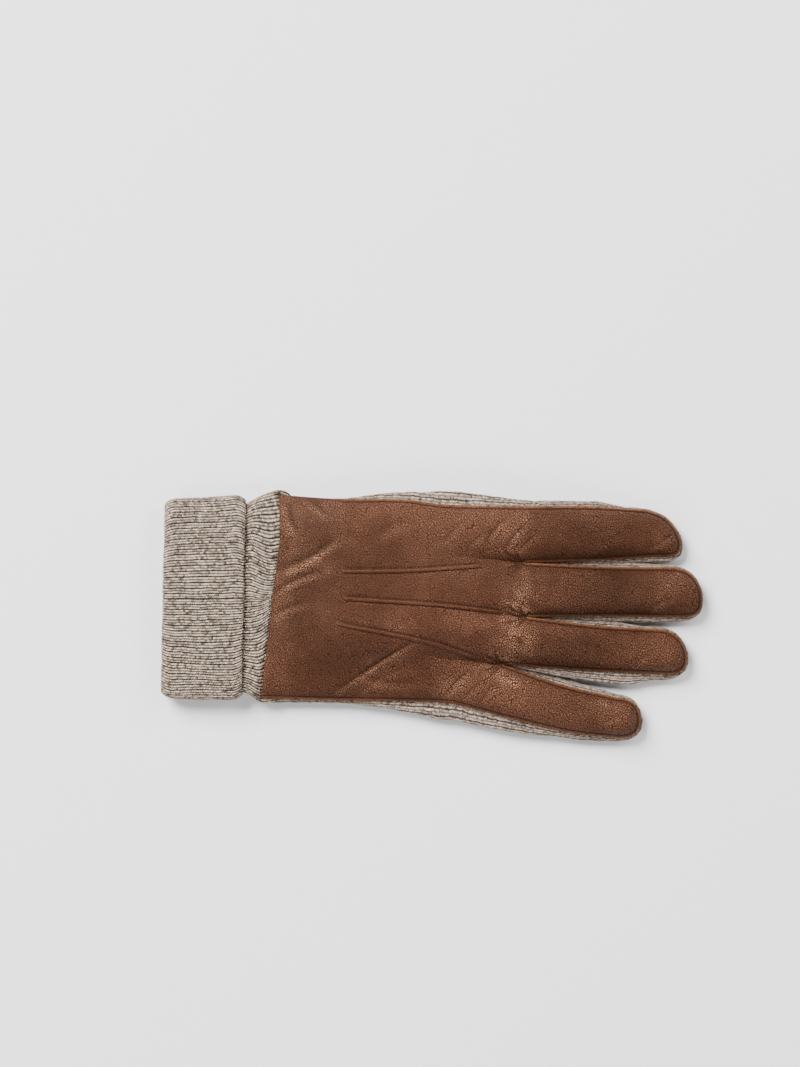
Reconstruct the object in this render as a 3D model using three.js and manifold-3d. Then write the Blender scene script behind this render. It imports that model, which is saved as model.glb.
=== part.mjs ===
// A right-hand winter glove: leather back and palm, ribbed knit side walls, and a ribbed knit cuff turned up once.
// It lies back up on a flat surface, with its thumb folded flat under the palm. Millimetres, +Z up.
// +X runs from the cuff to the fingertips and +Y to the index finger; the origin is under the middle of the glove.
import * as THREE from "three";
import { mergeVertices } from "three/addons/utils/BufferGeometryUtils.js";
import Module from "manifold-3d";

// Driving sizes of the materials and of the lying glove
const LEATHER = 1.5; // upright thickness of the leather
const KNIT = 1.8; // thickness of the knit walls
const GAP = 0.4; // clearance between neighbouring pieces
const THUMB_GAP = 1; // clearance between the folded thumb and the palm
const LAP = 0.8; // how far a knit wall's outer face sits inside the leather's edge
const WRIST_GAP = 1.2; // how far the knit walls stop short of the wrist edge
const TIP_GAP = 0.7; // how far they stop short of the middle of a fingertip
const GAP_SHARE = 0.42; // how much of the gap between two fingers each side's knit may fill
const PALM_CROWN = 15.5; // height of the back over the palm's underside
const PALM_EDGE = 9;
const FINGER_CROWN = { root: 15.5, tip: 13.5 };
const FINGER_EDGE = { root: 9.5, tip: 8 };
const CROWN_POWER = 3; // how boxy a finger's back is across
const PALM_CROWN_POWER = 7;
const RIM_LIFT = 1.6; // how far the palm leather's rim curls off the surface
const THUMB_LIFT = 11.5; // how far the folded thumb raises the palm
const TIP_SQUARENESS = 0.18; // 0 is a round fingertip, 1 a square one

// Resolution
const COLUMNS = 6; // across one finger
const PALM_ROWS = 9;
const FINGER_ROWS = 7;
const TIP_ROWS = 3;
const WALL_STEPS = 5; // down a knit wall

// Where the folded thumb raises the hand: along X it comes up and goes down, along Y it ends
const LIFT = { fromX: -84, fullX: -42, holdX: 58, toX: 112, fromY: -36, fullY: -4 };

// The back leather's cut. The wrist edge runs from the index side to the little side.
const WRIST = [
  { x: -79.2, y: 63 },
  { x: -78.8, y: 39.8 },
  { x: -81.9, y: 13.8 },
  { x: -85, y: -12.2 },
  { x: -88.9, y: -42.9 },
];
const INDEX_SIDE = [{ x: -50.7, y: 60.9 }, { x: -16.4, y: 60.6 }, { x: 0.3, y: 58.5 }, { x: 14.8, y: 57.5 }];
const LITTLE_SIDE = [{ x: -43.7, y: -44 }, { x: -14.8, y: -44.5 }, { x: 9.1, y: -45.5 }, { x: 24.2, y: -49.1 }];
const CROTCHES = [
  { x: 48.1, y: 27.8 },
  { x: 49.7, y: -0.3 },
  { x: 37.4, y: -25.2 },
];
// Each finger's outline: the upper and lower side at mid length and where the tip's round begins, and the tip itself
const FINGERS = [
  {
    name: "index",
    upper: [{ x: 82.4, y: 56.9 }, { x: 110, y: 55.4 }],
    apex: { x: 129.2, y: 41.3 },
    lower: [{ x: 87.1, y: 28.9 }, { x: 118.8, y: 30.9 }],
  },
  {
    name: "middle",
    upper: [{ x: 87.6, y: 25.7 }, { x: 125.1, y: 25.2 }],
    apex: { x: 141, y: 11.7 },
    lower: [{ x: 92.8, y: -0.1 }, { x: 130.3, y: -0.8 }],
  },
  {
    name: "ring",
    upper: [{ x: 87.6, y: -5.2 }, { x: 117.8, y: -7 }],
    apex: { x: 132.9, y: -19 },
    lower: [{ x: 82.4, y: -28.6 }, { x: 123, y: -30.6 }],
  },
  {
    name: "little",
    upper: [{ x: 66.8, y: -35.6 }, { x: 96.5, y: -42.6 }],
    apex: { x: 108.9, y: -53.3 },
    lower: [{ x: 72, y: -60.8 }, { x: 98, y: -63.7 }],
  },
];
const INDEX_ROOT = { x: 48.1, y: 56.9 };
const LITTLE_ROOT = { x: 37.4, y: -52.6 };

// The palm leather is cut smaller than the back: how far its edges lie inside the back's, from the wrist to the fingers
const PALM_INSET = { index: [12, 11, 9, 6], little: [8, 8, 8, 6], finger: 4.3, tip: 4.5, crotch: 3 };

// How far the knit walls swell out past the back leather
const PALM_SWELL = { index: [2.8, -0.5, 3, 6.5], little: [1.5, 1.5, 6.5, 9.5] };
const FINGER_SWELL = [
  { upper: [5, 2, 1], tip: 1, lower: [0, 1.2, 3] },
  { upper: [0, 1, 1.5], tip: -0.2, lower: [0, 1.5, 2.5] },
  { upper: [0, 1, 1.2], tip: 1, lower: [0, 2.5, 5] },
  { upper: [0, 2, 2], tip: 1.2, lower: [8, 4, 2.5] },
];

// Three stitched tucks on the back, each a thin roll of the leather itself
const TUCK_RADIUS = 0.9;
const TUCK_RISE = 0.15;
const TUCK_SINK = -0.5;
const TUCK_STEPS = 14;
const TUCK_SIDES = 8;
const TUCKS = [
  [{ x: -46.3, y: 23.3 }, { x: -11.7, y: 23.7 }, { x: 27.6, y: 26.3 }],
  [{ x: -45.5, y: 9.2 }, { x: 3.1, y: 5.9 }, { x: 37.2, y: 1.6 }],
  [{ x: -49.7, y: -3.6 }, { x: -3.2, y: -13.2 }, { x: 25.2, y: -22.6 }],
];

// The thumb, in plan: a pocket sewn under the palm along its base and folded forward
const THUMB = {
  upper: [{ x: -4, y: 45 }, { x: 28, y: 40 }, { x: 54, y: 27 }],
  apex: { x: 68, y: 6 },
  lower: [{ x: -65, y: 20 }, { x: -10, y: 3 }, { x: 52, y: -8 }],
  bow: { x: -7.5, y: 7.5 },
  rows: 11,
  wallFromRow: 2,
  frontFromRow: 5,
  fullDepthAt: 0.3, // share of its length where it reaches the surface
  edgeLift: 2.2, // how far the leather on its back wraps up its sides
  edgeDrop: 0.8, // how far the leather on its front wraps down
  swell: 1.2,
};
const THUMB_HOLE = { x: -19, y: 25, alongX: 19, alongY: 11, turn: -0.27, sides: 20 };

// The touch patch at the index fingertip starts this many rows before the tip's end
const PATCH_ROWS = 5;
const PATCH_SEAM = 0.45;

// The rib cuff is one knit tube from the wrist edge to a fold and back over itself.
// Each row is a station round the wall's section: h is 0 at the wrist edge and 1 at the turned-up edge,
// x counts from there on, and offset is measured from the outer face of the inner tube.
const CUFF = {
  sides: 40,
  power: 3.6,
  atWrist: { y: 9.8, halfY: 55, z: 8.5, halfZ: 6.4 },
  atEdge: { y: 9.2, halfY: 50, z: 8.85, halfZ: 6.3 },
  edgeX: -98,
};
const CUFF_SECTION = [
  { h: 0, x: 0, offset: 0 },
  { h: 0.5, x: 0, offset: 0 },
  { h: 1, x: -98, offset: 0 },
  { h: 1, x: -135.5, offset: 0 },
  { h: 1, x: -136.6, offset: 0.25 },
  { h: 1, x: -135.5, offset: 0.5 },
  { h: 1, x: -97.5, offset: 0.5 },
  { h: 1, x: -95.8, offset: 1 },
  { h: 1, x: -95.2, offset: 1.8 },
  { h: 1, x: -96, offset: 2.6 },
  { h: 1, x: -98, offset: 2.8 },
  { h: 1, x: -118, offset: 2.8 },
  { h: 1, x: -136.5, offset: 2.6 },
  { h: 1, x: -140, offset: 1.8 },
  { h: 1, x: -141.2, offset: 0.2 },
  { h: 1, x: -140.2, offset: -1.3 },
  { h: 1, x: -137, offset: -2 },
  { h: 1, x: -98, offset: -2 },
  { h: 0.5, x: 0, offset: -2 },
  { h: 0, x: 0, offset: -2 },
];

const wasm = await Module();
wasm.setup();

const leatherMaterial = new THREE.MeshStandardMaterial({ color: 0x6e4836, roughness: 0.55, metalness: 0 });
const knitMaterial = new THREE.MeshStandardMaterial({ color: 0x9c9085, roughness: 0.95, metalness: 0 });

// Small helpers for plan points and curves
const mix = (a, b, t) => a + (b - a) * t;
const mixPoint = (a, b, t) => ({ x: mix(a.x, b.x, t), y: mix(a.y, b.y, t) });
const step = (low, high, value) => THREE.MathUtils.smoothstep(value, low, high);

// A value read off an evenly spaced list, t running from 0 to 1
function reading(list, t) {
  const place = t * (list.length - 1);
  const at = Math.min(Math.floor(place), list.length - 2);
  return mix(list[at], list[at + 1], place - at);
}

// A smooth curve through plan points, read by its share of length
function curveThrough(points) {
  const curve = new THREE.CatmullRomCurve3(
    points.map((p) => new THREE.Vector3(p.x, p.y, 0)),
    false,
    "catmullrom",
    0.5,
  );
  return (t) => {
    const p = curve.getPointAt(THREE.MathUtils.clamp(t, 0, 1));
    return { x: p.x, y: p.y };
  };
}

// How far the folded thumb raises the hand at a plan point
function lift({ x, y }) {
  const alongX = step(LIFT.fromX, LIFT.fullX, x) * (1 - step(LIFT.holdX, LIFT.toX, x));
  return THUMB_LIFT * alongX * step(LIFT.fromY, LIFT.fullY, y);
}

// A point of a fingertip: a half disc on the last row of a finger, v from 0 there to 1 at the end, u from 1 to -1 across
function tipPoint(finger, u, v) {
  const [upper, lower] = [finger.upper.at(-1), finger.lower.at(-1)];
  const middle = mixPoint(upper, lower, 0.5);
  const roundX = v * Math.sqrt(1 - (u * u) / 2);
  const roundY = u * Math.sqrt(1 - (v * v) / 2);
  const forward = mix(roundX, v, TIP_SQUARENESS * 0.6);
  const across = mix(roundY, u, TIP_SQUARENESS);
  return {
    x: middle.x + (finger.apex.x - middle.x) * forward + ((upper.x - lower.x) / 2) * across,
    y: middle.y + (finger.apex.y - middle.y) * forward + ((upper.y - lower.y) / 2) * across,
    radius: Math.min(1, Math.hypot(roundX, roundY)),
  };
}

// The wrist edge's place along X for a place across it
function wristX(y) {
  const last = WRIST.length - 2;
  const k = Math.min(Math.max(WRIST.findIndex((p, i) => i > 0 && y >= p.y) - 1, 0), last);
  const at = y < WRIST.at(-1).y ? last : k;
  const share = THREE.MathUtils.clamp((y - WRIST[at].y) / (WRIST[at + 1].y - WRIST[at].y), 0, 1);
  return mix(WRIST[at].x, WRIST[at + 1].x, share);
}

// The outline of one hand panel: where each rail and finger lies
function handCut({ wrist, indexSide, littleSide, crotches, fingers, indexRoot, littleRoot }) {
  const roots = [indexRoot, ...crotches, littleRoot];
  const rails = roots.map((root, k) => {
    const between = { 0: indexSide, 4: littleSide }[k] ?? [];
    return curveThrough([wrist[k], ...between, root]);
  });
  const limbs = fingers.map((finger, k) => ({
    ...finger,
    upperRail: curveThrough([roots[k], ...finger.upper]),
    lowerRail: curveThrough([roots[k + 1], ...finger.lower]),
  }));
  return { rails, limbs };
}

// The palm leather's cut, worked out from the back's by the insets
function insetCut() {
  const inward = (finger) => {
    const shifted = finger.upper.map((upper, i) => {
      const lower = finger.lower[i];
      const share = PALM_INSET.finger / Math.hypot(upper.x - lower.x, upper.y - lower.y);
      return [mixPoint(upper, lower, share), mixPoint(lower, upper, share)];
    });
    const middle = mixPoint(finger.upper.at(-1), finger.lower.at(-1), 0.5);
    const reach = Math.hypot(finger.apex.x - middle.x, finger.apex.y - middle.y);
    return {
      ...finger,
      upper: shifted.map((pair) => pair[0]),
      lower: shifted.map((pair) => pair[1]),
      apex: mixPoint(finger.apex, middle, PALM_INSET.tip / reach),
    };
  };
  const down = (points, insets, from) =>
    points.map((p, i) => ({ x: p.x, y: p.y - reading(insets, (i + from) / (points.length + 1)) }));
  const negative = PALM_INSET.little.map((v) => -v);
  return handCut({
    wrist: WRIST.map((p, k) => {
      const y = p.y + ({ 0: -PALM_INSET.index[0], 4: PALM_INSET.little[0] }[k] ?? 0);
      return { x: wristX(y), y };
    }),
    indexSide: down(INDEX_SIDE, PALM_INSET.index, 1),
    littleSide: down(LITTLE_SIDE, negative, 1),
    crotches: CROTCHES.map((p) => ({ x: p.x - PALM_INSET.crotch, y: p.y })),
    fingers: FINGERS.map(inward),
    indexRoot: { x: INDEX_ROOT.x, y: INDEX_ROOT.y - PALM_INSET.index.at(-1) },
    littleRoot: { x: LITTLE_ROOT.x, y: LITTLE_ROOT.y + PALM_INSET.little.at(-1) },
  });
}

// The net of points that both hand panels share: a palm that forks into four fingers.
// Each point knows its place across its finger and the palm, how far it is round a tip, and how much it is a finger.
function handNet(cut) {
  const points = [];
  const quads = [];
  const width = 4 * COLUMNS;
  const palm = [];
  for (let j = 0; j <= PALM_ROWS; j++) {
    const v = j / PALM_ROWS;
    const row = [];
    for (let c = 0; c <= width; c++) {
      const k = Math.min(Math.floor(c / COLUMNS), 3);
      const within = (c - k * COLUMNS) / COLUMNS;
      const plan = mixPoint(cut.rails[k](v), cut.rails[k + 1](v), within);
      const across = 1 - 2 * within;
      row.push(points.length);
      points.push({
        ...plan,
        radius: Math.abs(across),
        palmAcross: Math.abs(1 - (2 * c) / width),
        fingerness: 0.8 * step(0.6, 1, v),
        reach: 0,
      });
    }
    palm.push(row);
  }
  const grid = (rows) => {
    for (let j = 0; j + 1 < rows.length; j++)
      for (let c = 0; c + 1 < rows[j].length; c++)
        quads.push([rows[j][c], rows[j][c + 1], rows[j + 1][c + 1], rows[j + 1][c]]);
  };
  grid(palm);
  const fingers = cut.limbs.map((limb, k) => {
    const rows = [palm.at(-1).slice(k * COLUMNS, (k + 1) * COLUMNS + 1)];
    for (let j = 1; j <= FINGER_ROWS + TIP_ROWS; j++) {
      const row = [];
      for (let c = 0; c <= COLUMNS; c++) {
        const u = 1 - (2 * c) / COLUMNS;
        const v = Math.min(j / FINGER_ROWS, 1);
        const plan =
          j <= FINGER_ROWS
            ? { ...mixPoint(limb.upperRail(v), limb.lowerRail(v), c / COLUMNS), radius: Math.abs(u) }
            : tipPoint(limb, u, (j - FINGER_ROWS) / TIP_ROWS);
        row.push(points.length);
        points.push({ ...plan, palmAcross: 0, fingerness: j > 1 ? 1 : 0.92, reach: v });
      }
      rows.push(row);
    }
    grid(rows);
    return rows;
  });
  return { points, quads, palm, fingers };
}

// The rim of a net in five runs, split at the fingertips: index side, three gaps between fingers, little side
function rimRuns({ palm, fingers }) {
  const column = (rows, c) => rows.slice(1).map((row) => row[c]);
  const half = COLUMNS / 2;
  const runs = [];
  let run = palm.map((row) => row[0]);
  fingers.forEach((rows, k) => {
    const last = rows.at(-1);
    run.push(...column(rows, 0), ...last.slice(1, half + 1));
    runs.push(run);
    run = [...last.slice(half, COLUMNS), ...column(rows, COLUMNS).reverse(), palm.at(-1)[(k + 1) * COLUMNS]];
  });
  run.push(...palm.slice(0, -1).reverse().map((row) => row.at(-1)));
  runs.push(run);
  return runs;
}

// A geometry from loose points and polygons whose corners run anticlockwise seen from outside
function geometryOf(vertices, polygons) {
  const index = polygons.flatMap((p) => p.slice(2).flatMap((_, i) => [p[0], p[i + 1], p[i + 2]]));
  const geometry = new THREE.BufferGeometry();
  geometry.setAttribute("position", new THREE.Float32BufferAttribute(vertices.flatMap((v) => [v.x, v.y, v.z]), 3));
  geometry.setIndex(index);
  return geometry;
}

// A closed panel between an upper and a lower height over the same net of plan points
function panel(points, quads, upper, lower) {
  const used = [...new Set(quads.flat())];
  const place = new Map(used.map((p, i) => [p, i]));
  const top = used.map((p) => ({ ...points[p], z: upper(points[p]) }));
  const bottom = used.map((p) => ({ ...points[p], z: lower(points[p]) }));
  const faces = quads.map((q) => q.map((p) => place.get(p)));
  const count = used.length;
  const edges = new Map();
  for (const face of faces)
    face.forEach((a, i) => {
      const b = face[(i + 1) % face.length];
      if (!edges.delete(`${b},${a}`)) edges.set(`${a},${b}`, [a, b]);
    });
  const sides = [...edges.values()].map(([a, b]) => [b, a, a + count, b + count]);
  const under = faces.map((face) => face.map((p) => p + count).reverse());
  return geometryOf([...top, ...bottom], [...faces, ...under, ...sides]);
}

// A knit wall between two rims: it hangs from the upper one, swells out and turns in to the lower one
function wall(stations) {
  const vertices = [];
  const sections = stations.map(({ top, foot, topZ, footZ, normal, swell, room = Infinity }) => {
    const inset = (top.x - foot.x) * normal.x + (top.y - foot.y) * normal.y;
    const drift = { x: foot.x - top.x + inset * normal.x, y: foot.y - top.y + inset * normal.y };
    const most = (GAP_SHARE * room + (2 * LAP + inset) / 8) / 0.75;
    const out = Math.min(1.35 * swell + 0.12 * Math.abs(inset) + 0.5, most);
    const height = topZ - footZ;
    const upright = Math.min(0.6 * KNIT, 0.2 * height);
    const profile = new THREE.CubicBezierCurve(
      new THREE.Vector2(-LAP, topZ),
      new THREE.Vector2(out, topZ - 0.15 * height),
      new THREE.Vector2(out, footZ + 0.1 * height),
      new THREE.Vector2(-inset - LAP, footZ),
    );
    const ring = [];
    const place = (offset, z, t) => {
      ring.push(vertices.length);
      vertices.push({
        x: top.x + normal.x * offset + drift.x * t,
        y: top.y + normal.y * offset + drift.y * t,
        z,
      });
    };
    for (let i = 0; i <= WALL_STEPS; i++) {
      const t = i / WALL_STEPS;
      const p = profile.getPoint(t);
      place(p.x, p.y, t);
    }
    for (let i = WALL_STEPS; i >= 0; i--) {
      const t = i / WALL_STEPS;
      const p = profile.getPoint(t);
      const along = profile.getTangent(t);
      const ends = Math.sin(Math.PI * t);
      place(p.x - KNIT * mix(1, -along.y, ends), p.y - upright * ends * along.x, t);
    }
    return ring;
  });
  const faces = [];
  for (let s = 0; s + 1 < sections.length; s++)
    sections[s].forEach((a, i) => {
      const j = (i + 1) % sections[s].length;
      faces.push([a, sections[s + 1][i], sections[s + 1][j], sections[s][j]]);
    });
  const pairs = (ring, turn) => {
    for (let i = 0; i < WALL_STEPS; i++) {
      const far = ring.length - 1 - i;
      const quad = [ring[i], ring[far], ring[far - 1], ring[i + 1]];
      faces.push(turn ? quad : quad.reverse());
    }
  };
  pairs(sections[0], false);
  pairs(sections.at(-1), true);
  return geometryOf(vertices, faces);
}

// Outward plan normals along a run of points whose outside is on the left
function normalsAlong(run) {
  return run.map((_, i) => {
    const before = run[Math.max(i - 1, 0)];
    const after = run[Math.min(i + 1, run.length - 1)];
    const length = Math.hypot(after.x - before.x, after.y - before.y);
    return { x: -(after.y - before.y) / length, y: (after.x - before.x) / length };
  });
}

// Heights of the hand's four faces over the surface
function backTop(p) {
  const crown = mix(FINGER_CROWN.root, FINGER_CROWN.tip, p.reach);
  const edge = mix(FINGER_EDGE.root, FINGER_EDGE.tip, p.reach);
  const finger = edge + (crown - edge) * (1 - p.radius ** CROWN_POWER);
  const palm = PALM_EDGE + (PALM_CROWN - PALM_EDGE) * (1 - p.palmAcross ** PALM_CROWN_POWER);
  return lift(p) + mix(palm, finger, p.fingerness);
}
const backUnder = (p) => backTop(p) - LEATHER;
function palmUnder(p) {
  const finger = step(0.55, 1, p.radius);
  const palm = step(0.8, 1, p.palmAcross);
  return lift(p) + RIM_LIFT * mix(palm, finger, p.fingerness);
}
const palmTop = (p) => palmUnder(p) + LEATHER;

// A closed solid for joining and cutting
function solidOf(geometry) {
  const plain = (geometry.index ? geometry.toNonIndexed() : geometry.clone()).deleteAttribute("normal").deleteAttribute("uv");
  const merged = mergeVertices(plain, 1e-4);
  return new wasm.Manifold(
    new wasm.Mesh({
      numProp: 3,
      vertProperties: new Float32Array(merged.attributes.position.array),
      triVerts: new Uint32Array(merged.index.array),
    }),
  );
}
function geometryFrom(solid) {
  const mesh = solid.getMesh();
  const geometry = new THREE.BufferGeometry();
  geometry.setAttribute("position", new THREE.Float32BufferAttribute(mesh.vertProperties, 3));
  geometry.setIndex(Array.from(mesh.triVerts));
  return geometry;
}

function named(name, geometry, material) {
  geometry.computeVertexNormals();
  const mesh = new THREE.Mesh(geometry, material);
  mesh.name = name;
  return mesh;
}

const backNet = handNet(handCut({
  wrist: WRIST,
  indexSide: INDEX_SIDE,
  littleSide: LITTLE_SIDE,
  crotches: CROTCHES,
  fingers: FINGERS,
  indexRoot: INDEX_ROOT,
  littleRoot: LITTLE_ROOT,
}));
const palmNet = handNet(insetCut());

// The back: one leather panel with its three tucks
function backLeather() {
  const flat = panel(backNet.points, backNet.quads, backTop, backUnder);
  const target = new THREE.Mesh(flat);
  const ray = new THREE.Raycaster();
  const heightAt = (x, y) => {
    ray.set(new THREE.Vector3(x, y, 100), new THREE.Vector3(0, 0, -1));
    return ray.intersectObject(target)[0].point.z;
  };
  let solid = solidOf(flat);
  for (const tuck of TUCKS) {
    const line = curveThrough(tuck);
    const path = new THREE.CatmullRomCurve3(
      Array.from({ length: TUCK_STEPS + 1 }, (_, i) => {
        const { x, y } = line(i / TUCK_STEPS);
        const buried = i === 0 || i === TUCK_STEPS;
        return new THREE.Vector3(x, y, heightAt(x, y) + (buried ? TUCK_SINK : TUCK_RISE));
      }),
    );
    const section = new THREE.Shape(
      Array.from({ length: TUCK_SIDES }, (_, i) => {
        const turn = (2 * Math.PI * i) / TUCK_SIDES;
        return new THREE.Vector2(TUCK_RADIUS * Math.cos(turn), TUCK_RADIUS * Math.sin(turn));
      }),
    );
    const roll = new THREE.ExtrudeGeometry(section, { steps: TUCK_STEPS, extrudePath: path });
    solid = solid.add(solidOf(roll));
  }
  return named("back_leather", geometryFrom(solid), leatherMaterial);
}

// The palm: one leather panel with the thumb's hole, and the touch patch that ends its index finger
function palmLeathers() {
  const indexRows = palmNet.fingers[0];
  const seamRow = indexRows[indexRows.length - 1 - PATCH_ROWS];
  const patchRows = new Set(indexRows.slice(indexRows.length - PATCH_ROWS).flat());
  const inPatch = (quad) => quad.some((p) => patchRows.has(p));
  const points = palmNet.points.map((p, i) => ({ ...p, index: i }));
  const patchPoints = points.map((p) => (seamRow.includes(p.index) ? { ...p, x: p.x + PATCH_SEAM } : p));
  const palm = panel(points, palmNet.quads.filter((q) => !inPatch(q)), palmTop, palmUnder);
  const patch = panel(patchPoints, palmNet.quads.filter(inPatch), palmTop, palmUnder);
  const outline = new THREE.Shape(
    Array.from({ length: THUMB_HOLE.sides }, (_, i) => {
      const angle = (2 * Math.PI * i) / THUMB_HOLE.sides;
      return new THREE.Vector2(THUMB_HOLE.alongX * Math.cos(angle), THUMB_HOLE.alongY * Math.sin(angle))
        .rotateAround(new THREE.Vector2(), THUMB_HOLE.turn)
        .add(new THREE.Vector2(THUMB_HOLE.x, THUMB_HOLE.y));
    }),
  );
  const plug = new THREE.ExtrudeGeometry(outline, { depth: 60, bevelEnabled: false });
  return [
    named("palm_leather", geometryFrom(solidOf(palm).subtract(solidOf(plug))), leatherMaterial),
    named("index_tip_patch", patch, leatherMaterial),
  ];
}

// How far the knit swells at each point of the rim, in the order of the five runs
function swellsFor(k, count) {
  const fingerCount = FINGER_ROWS + TIP_ROWS;
  const side = (key, finger) =>
    Array.from({ length: fingerCount }, (_, i) => reading(FINGER_SWELL[finger][key], Math.min((i + 1) / FINGER_ROWS, 1)));
  const tips = (finger) => new Array(COLUMNS / 2).fill(FINGER_SWELL[finger].tip);
  const palm = (key) => Array.from({ length: PALM_ROWS + 1 }, (_, i) => reading(PALM_SWELL[key], i / PALM_ROWS));
  const start = k === 0 ? palm("index") : [...tips(k - 1), ...side("lower", k - 1).reverse()];
  const end = k === 4 ? palm("little").reverse() : [...side("upper", k), ...tips(k)];
  const list = k === 0 || k === 4 ? [...start, ...end] : [...start, 0, ...end];
  if (list.length !== count) throw new Error(`run ${k} has ${count} points and ${list.length} swells`);
  return list;
}

// The knit walls between back and palm: two outer sides and three gap walls between the fingers
function knitWalls() {
  const names = [
    "index_side_wall",
    "index_middle_fourchette",
    "middle_ring_fourchette",
    "ring_little_fourchette",
    "little_side_wall",
  ];
  const backRuns = rimRuns(backNet);
  const palmRuns = rimRuns(palmNet);
  const rim = backRuns.flatMap((run, k) => run.slice(k > 0 ? 1 : 0));
  const rimNormals = normalsAlong(rim.map((i) => backNet.points[i]));
  const normals = new Map(rim.map((point, i) => [point, rimNormals[i]]));
  return names.map((name, k) => {
    const tops = backRuns[k].map((i) => backNet.points[i]);
    const feet = palmRuns[k].map((i) => palmNet.points[i]);
    const swells = swellsFor(k, tops.length);
    const slides = new Map([
      [0, k === 0 ? WRIST_GAP : TIP_GAP],
      [tops.length - 1, k === 4 ? -WRIST_GAP : -TIP_GAP],
    ]);
    const stations = tops.map((rimPoint, i) => {
      const normal = normals.get(backRuns[k][i]);
      const slid = (p) => {
        const by = slides.get(i) ?? 0;
        return { ...p, x: p.x + by * normal.y, y: p.y - by * normal.x };
      };
      const top = slid(rimPoint);
      const foot = slid(feet[i]);
      const inner = { x: foot.x - normal.x * (LAP + KNIT), y: foot.y - normal.y * (LAP + KNIT) };
      const rise = Math.max(lift(inner) - lift(foot), 0);
      const facing = tops[tops.length - 1 - i];
      const between = k > 0 && k < names.length - 1;
      return {
        top,
        foot,
        topZ: backUnder(top) - GAP,
        footZ: palmTop(foot) + rise + GAP,
        normal,
        swell: swells[i],
        room: between ? Math.hypot(facing.x - rimPoint.x, facing.y - rimPoint.y) : Infinity,
      };
    });
    return named(name, wall(stations), knitMaterial);
  });
}

// The thumb's net: rows from its base seam to a rounded tip
function thumbNet() {
  const upperRail = curveThrough(THUMB.upper);
  const lowerRail = curveThrough(THUMB.lower);
  const points = [];
  const rows = [];
  for (let j = 0; j <= THUMB.rows + TIP_ROWS; j++) {
    const v = Math.min(j / THUMB.rows, 1);
    const row = [];
    for (let c = 0; c <= COLUMNS; c++) {
      const u = 1 - (2 * c) / COLUMNS;
      const bow = (1 - u * u) * (1 - v) ** 3;
      const straight = mixPoint(upperRail(v), lowerRail(v), c / COLUMNS);
      const plan =
        j <= THUMB.rows
          ? { x: straight.x + THUMB.bow.x * bow, y: straight.y + THUMB.bow.y * bow, radius: Math.abs(u) }
          : tipPoint(THUMB, u, (j - THUMB.rows) / TIP_ROWS);
      row.push(points.length);
      points.push({ ...plan, reach: v });
    }
    rows.push(row);
  }
  return { points, rows };
}

// The thumb: leather on its back and front with a knit wall round it
function thumbPieces() {
  const { points, rows } = thumbNet();
  const quadsFrom = (first) => {
    const quads = [];
    for (let j = first; j + 1 < rows.length; j++)
      for (let c = 0; c < COLUMNS; c++)
        quads.push([rows[j][c], rows[j][c + 1], rows[j + 1][c + 1], rows[j + 1][c]]);
    return quads;
  };
  const ceiling = (p) => lift(p) - THUMB_GAP;
  const frontTop = (p) => ceiling(p) - THUMB.edgeDrop * p.radius ** 4;
  const frontUnder = (p) => frontTop(p) - LEATHER;
  const backUnderside = (p) => {
    const depth = step(0, THUMB.fullDepthAt, p.reach);
    const lying = THUMB.edgeLift * step(0.5, 1, p.radius);
    const attached = ceiling(p) - LEATHER;
    const early = 1 - step(0, 0.2, p.reach);
    const rim = mix(lying, attached, early * p.radius ** 2);
    return Math.min(mix(attached, rim, depth), attached);
  };
  const backInside = (p) => backUnderside(p) + LEATHER;
  const back = panel(points, quadsFrom(0), backInside, backUnderside);
  const front = panel(points, quadsFrom(THUMB.frontFromRow), frontTop, frontUnder);
  const from = THUMB.wallFromRow;
  const run = [
    ...rows.slice(from).map((row) => row[0]),
    ...rows.at(-1).slice(1, COLUMNS),
    ...rows.slice(from).map((row) => row.at(-1)).reverse(),
  ];
  const tops = run.map((i) => points[i]);
  const normals = normalsAlong(tops);
  const frontStart = new Set(rows.slice(0, THUMB.frontFromRow - 1).flat());
  const stations = tops.map((top, i) => ({
    top,
    foot: top,
    topZ: (frontStart.has(run[i]) ? ceiling(top) : frontUnder(top)) - GAP,
    footZ: backInside(top) + GAP,
    normal: normals[i],
    swell: THUMB.swell,
  }));
  return [
    named("thumb_back_leather", back, leatherMaterial),
    named("thumb_front_leather", front, leatherMaterial),
    named("thumb_knit_wall", wall(stations), knitMaterial),
  ];
}

// The rib cuff: its section carried round a flattened ring
function ribCuff() {
  const squared = (value) => Math.sign(value) * Math.abs(value) ** (2 / CUFF.power);
  const vertices = [];
  const rings = CUFF_SECTION.map(({ h, x, offset }) => {
    const size = (key) => mix(CUFF.atWrist[key], CUFF.atEdge[key], h);
    return Array.from({ length: CUFF.sides }, (_, i) => {
      const turn = (2 * Math.PI * (i + 0.5)) / CUFF.sides;
      const y = size("y") + (size("halfY") + offset) * squared(Math.cos(turn));
      const z = size("z") + (size("halfZ") + offset) * squared(Math.sin(turn));
      const station = h < 1 ? mix(wristX(y) - GAP, CUFF.edgeX, h) : x;
      vertices.push({ x: station, y, z: Math.max(z, 0) });
      return vertices.length - 1;
    });
  });
  const faces = [];
  rings.forEach((ring, s) => {
    const next = rings[(s + 1) % rings.length];
    ring.forEach((a, i) => {
      const j = (i + 1) % ring.length;
      faces.push([a, next[i], next[j], ring[j]]);
    });
  });
  return named("rib_cuff", geometryOf(vertices, faces), knitMaterial);
}

const glove = new THREE.Group();
glove.add(backLeather(), ...palmLeathers(), ...knitWalls(), ...thumbPieces(), ribCuff());
export default glove;
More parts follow.
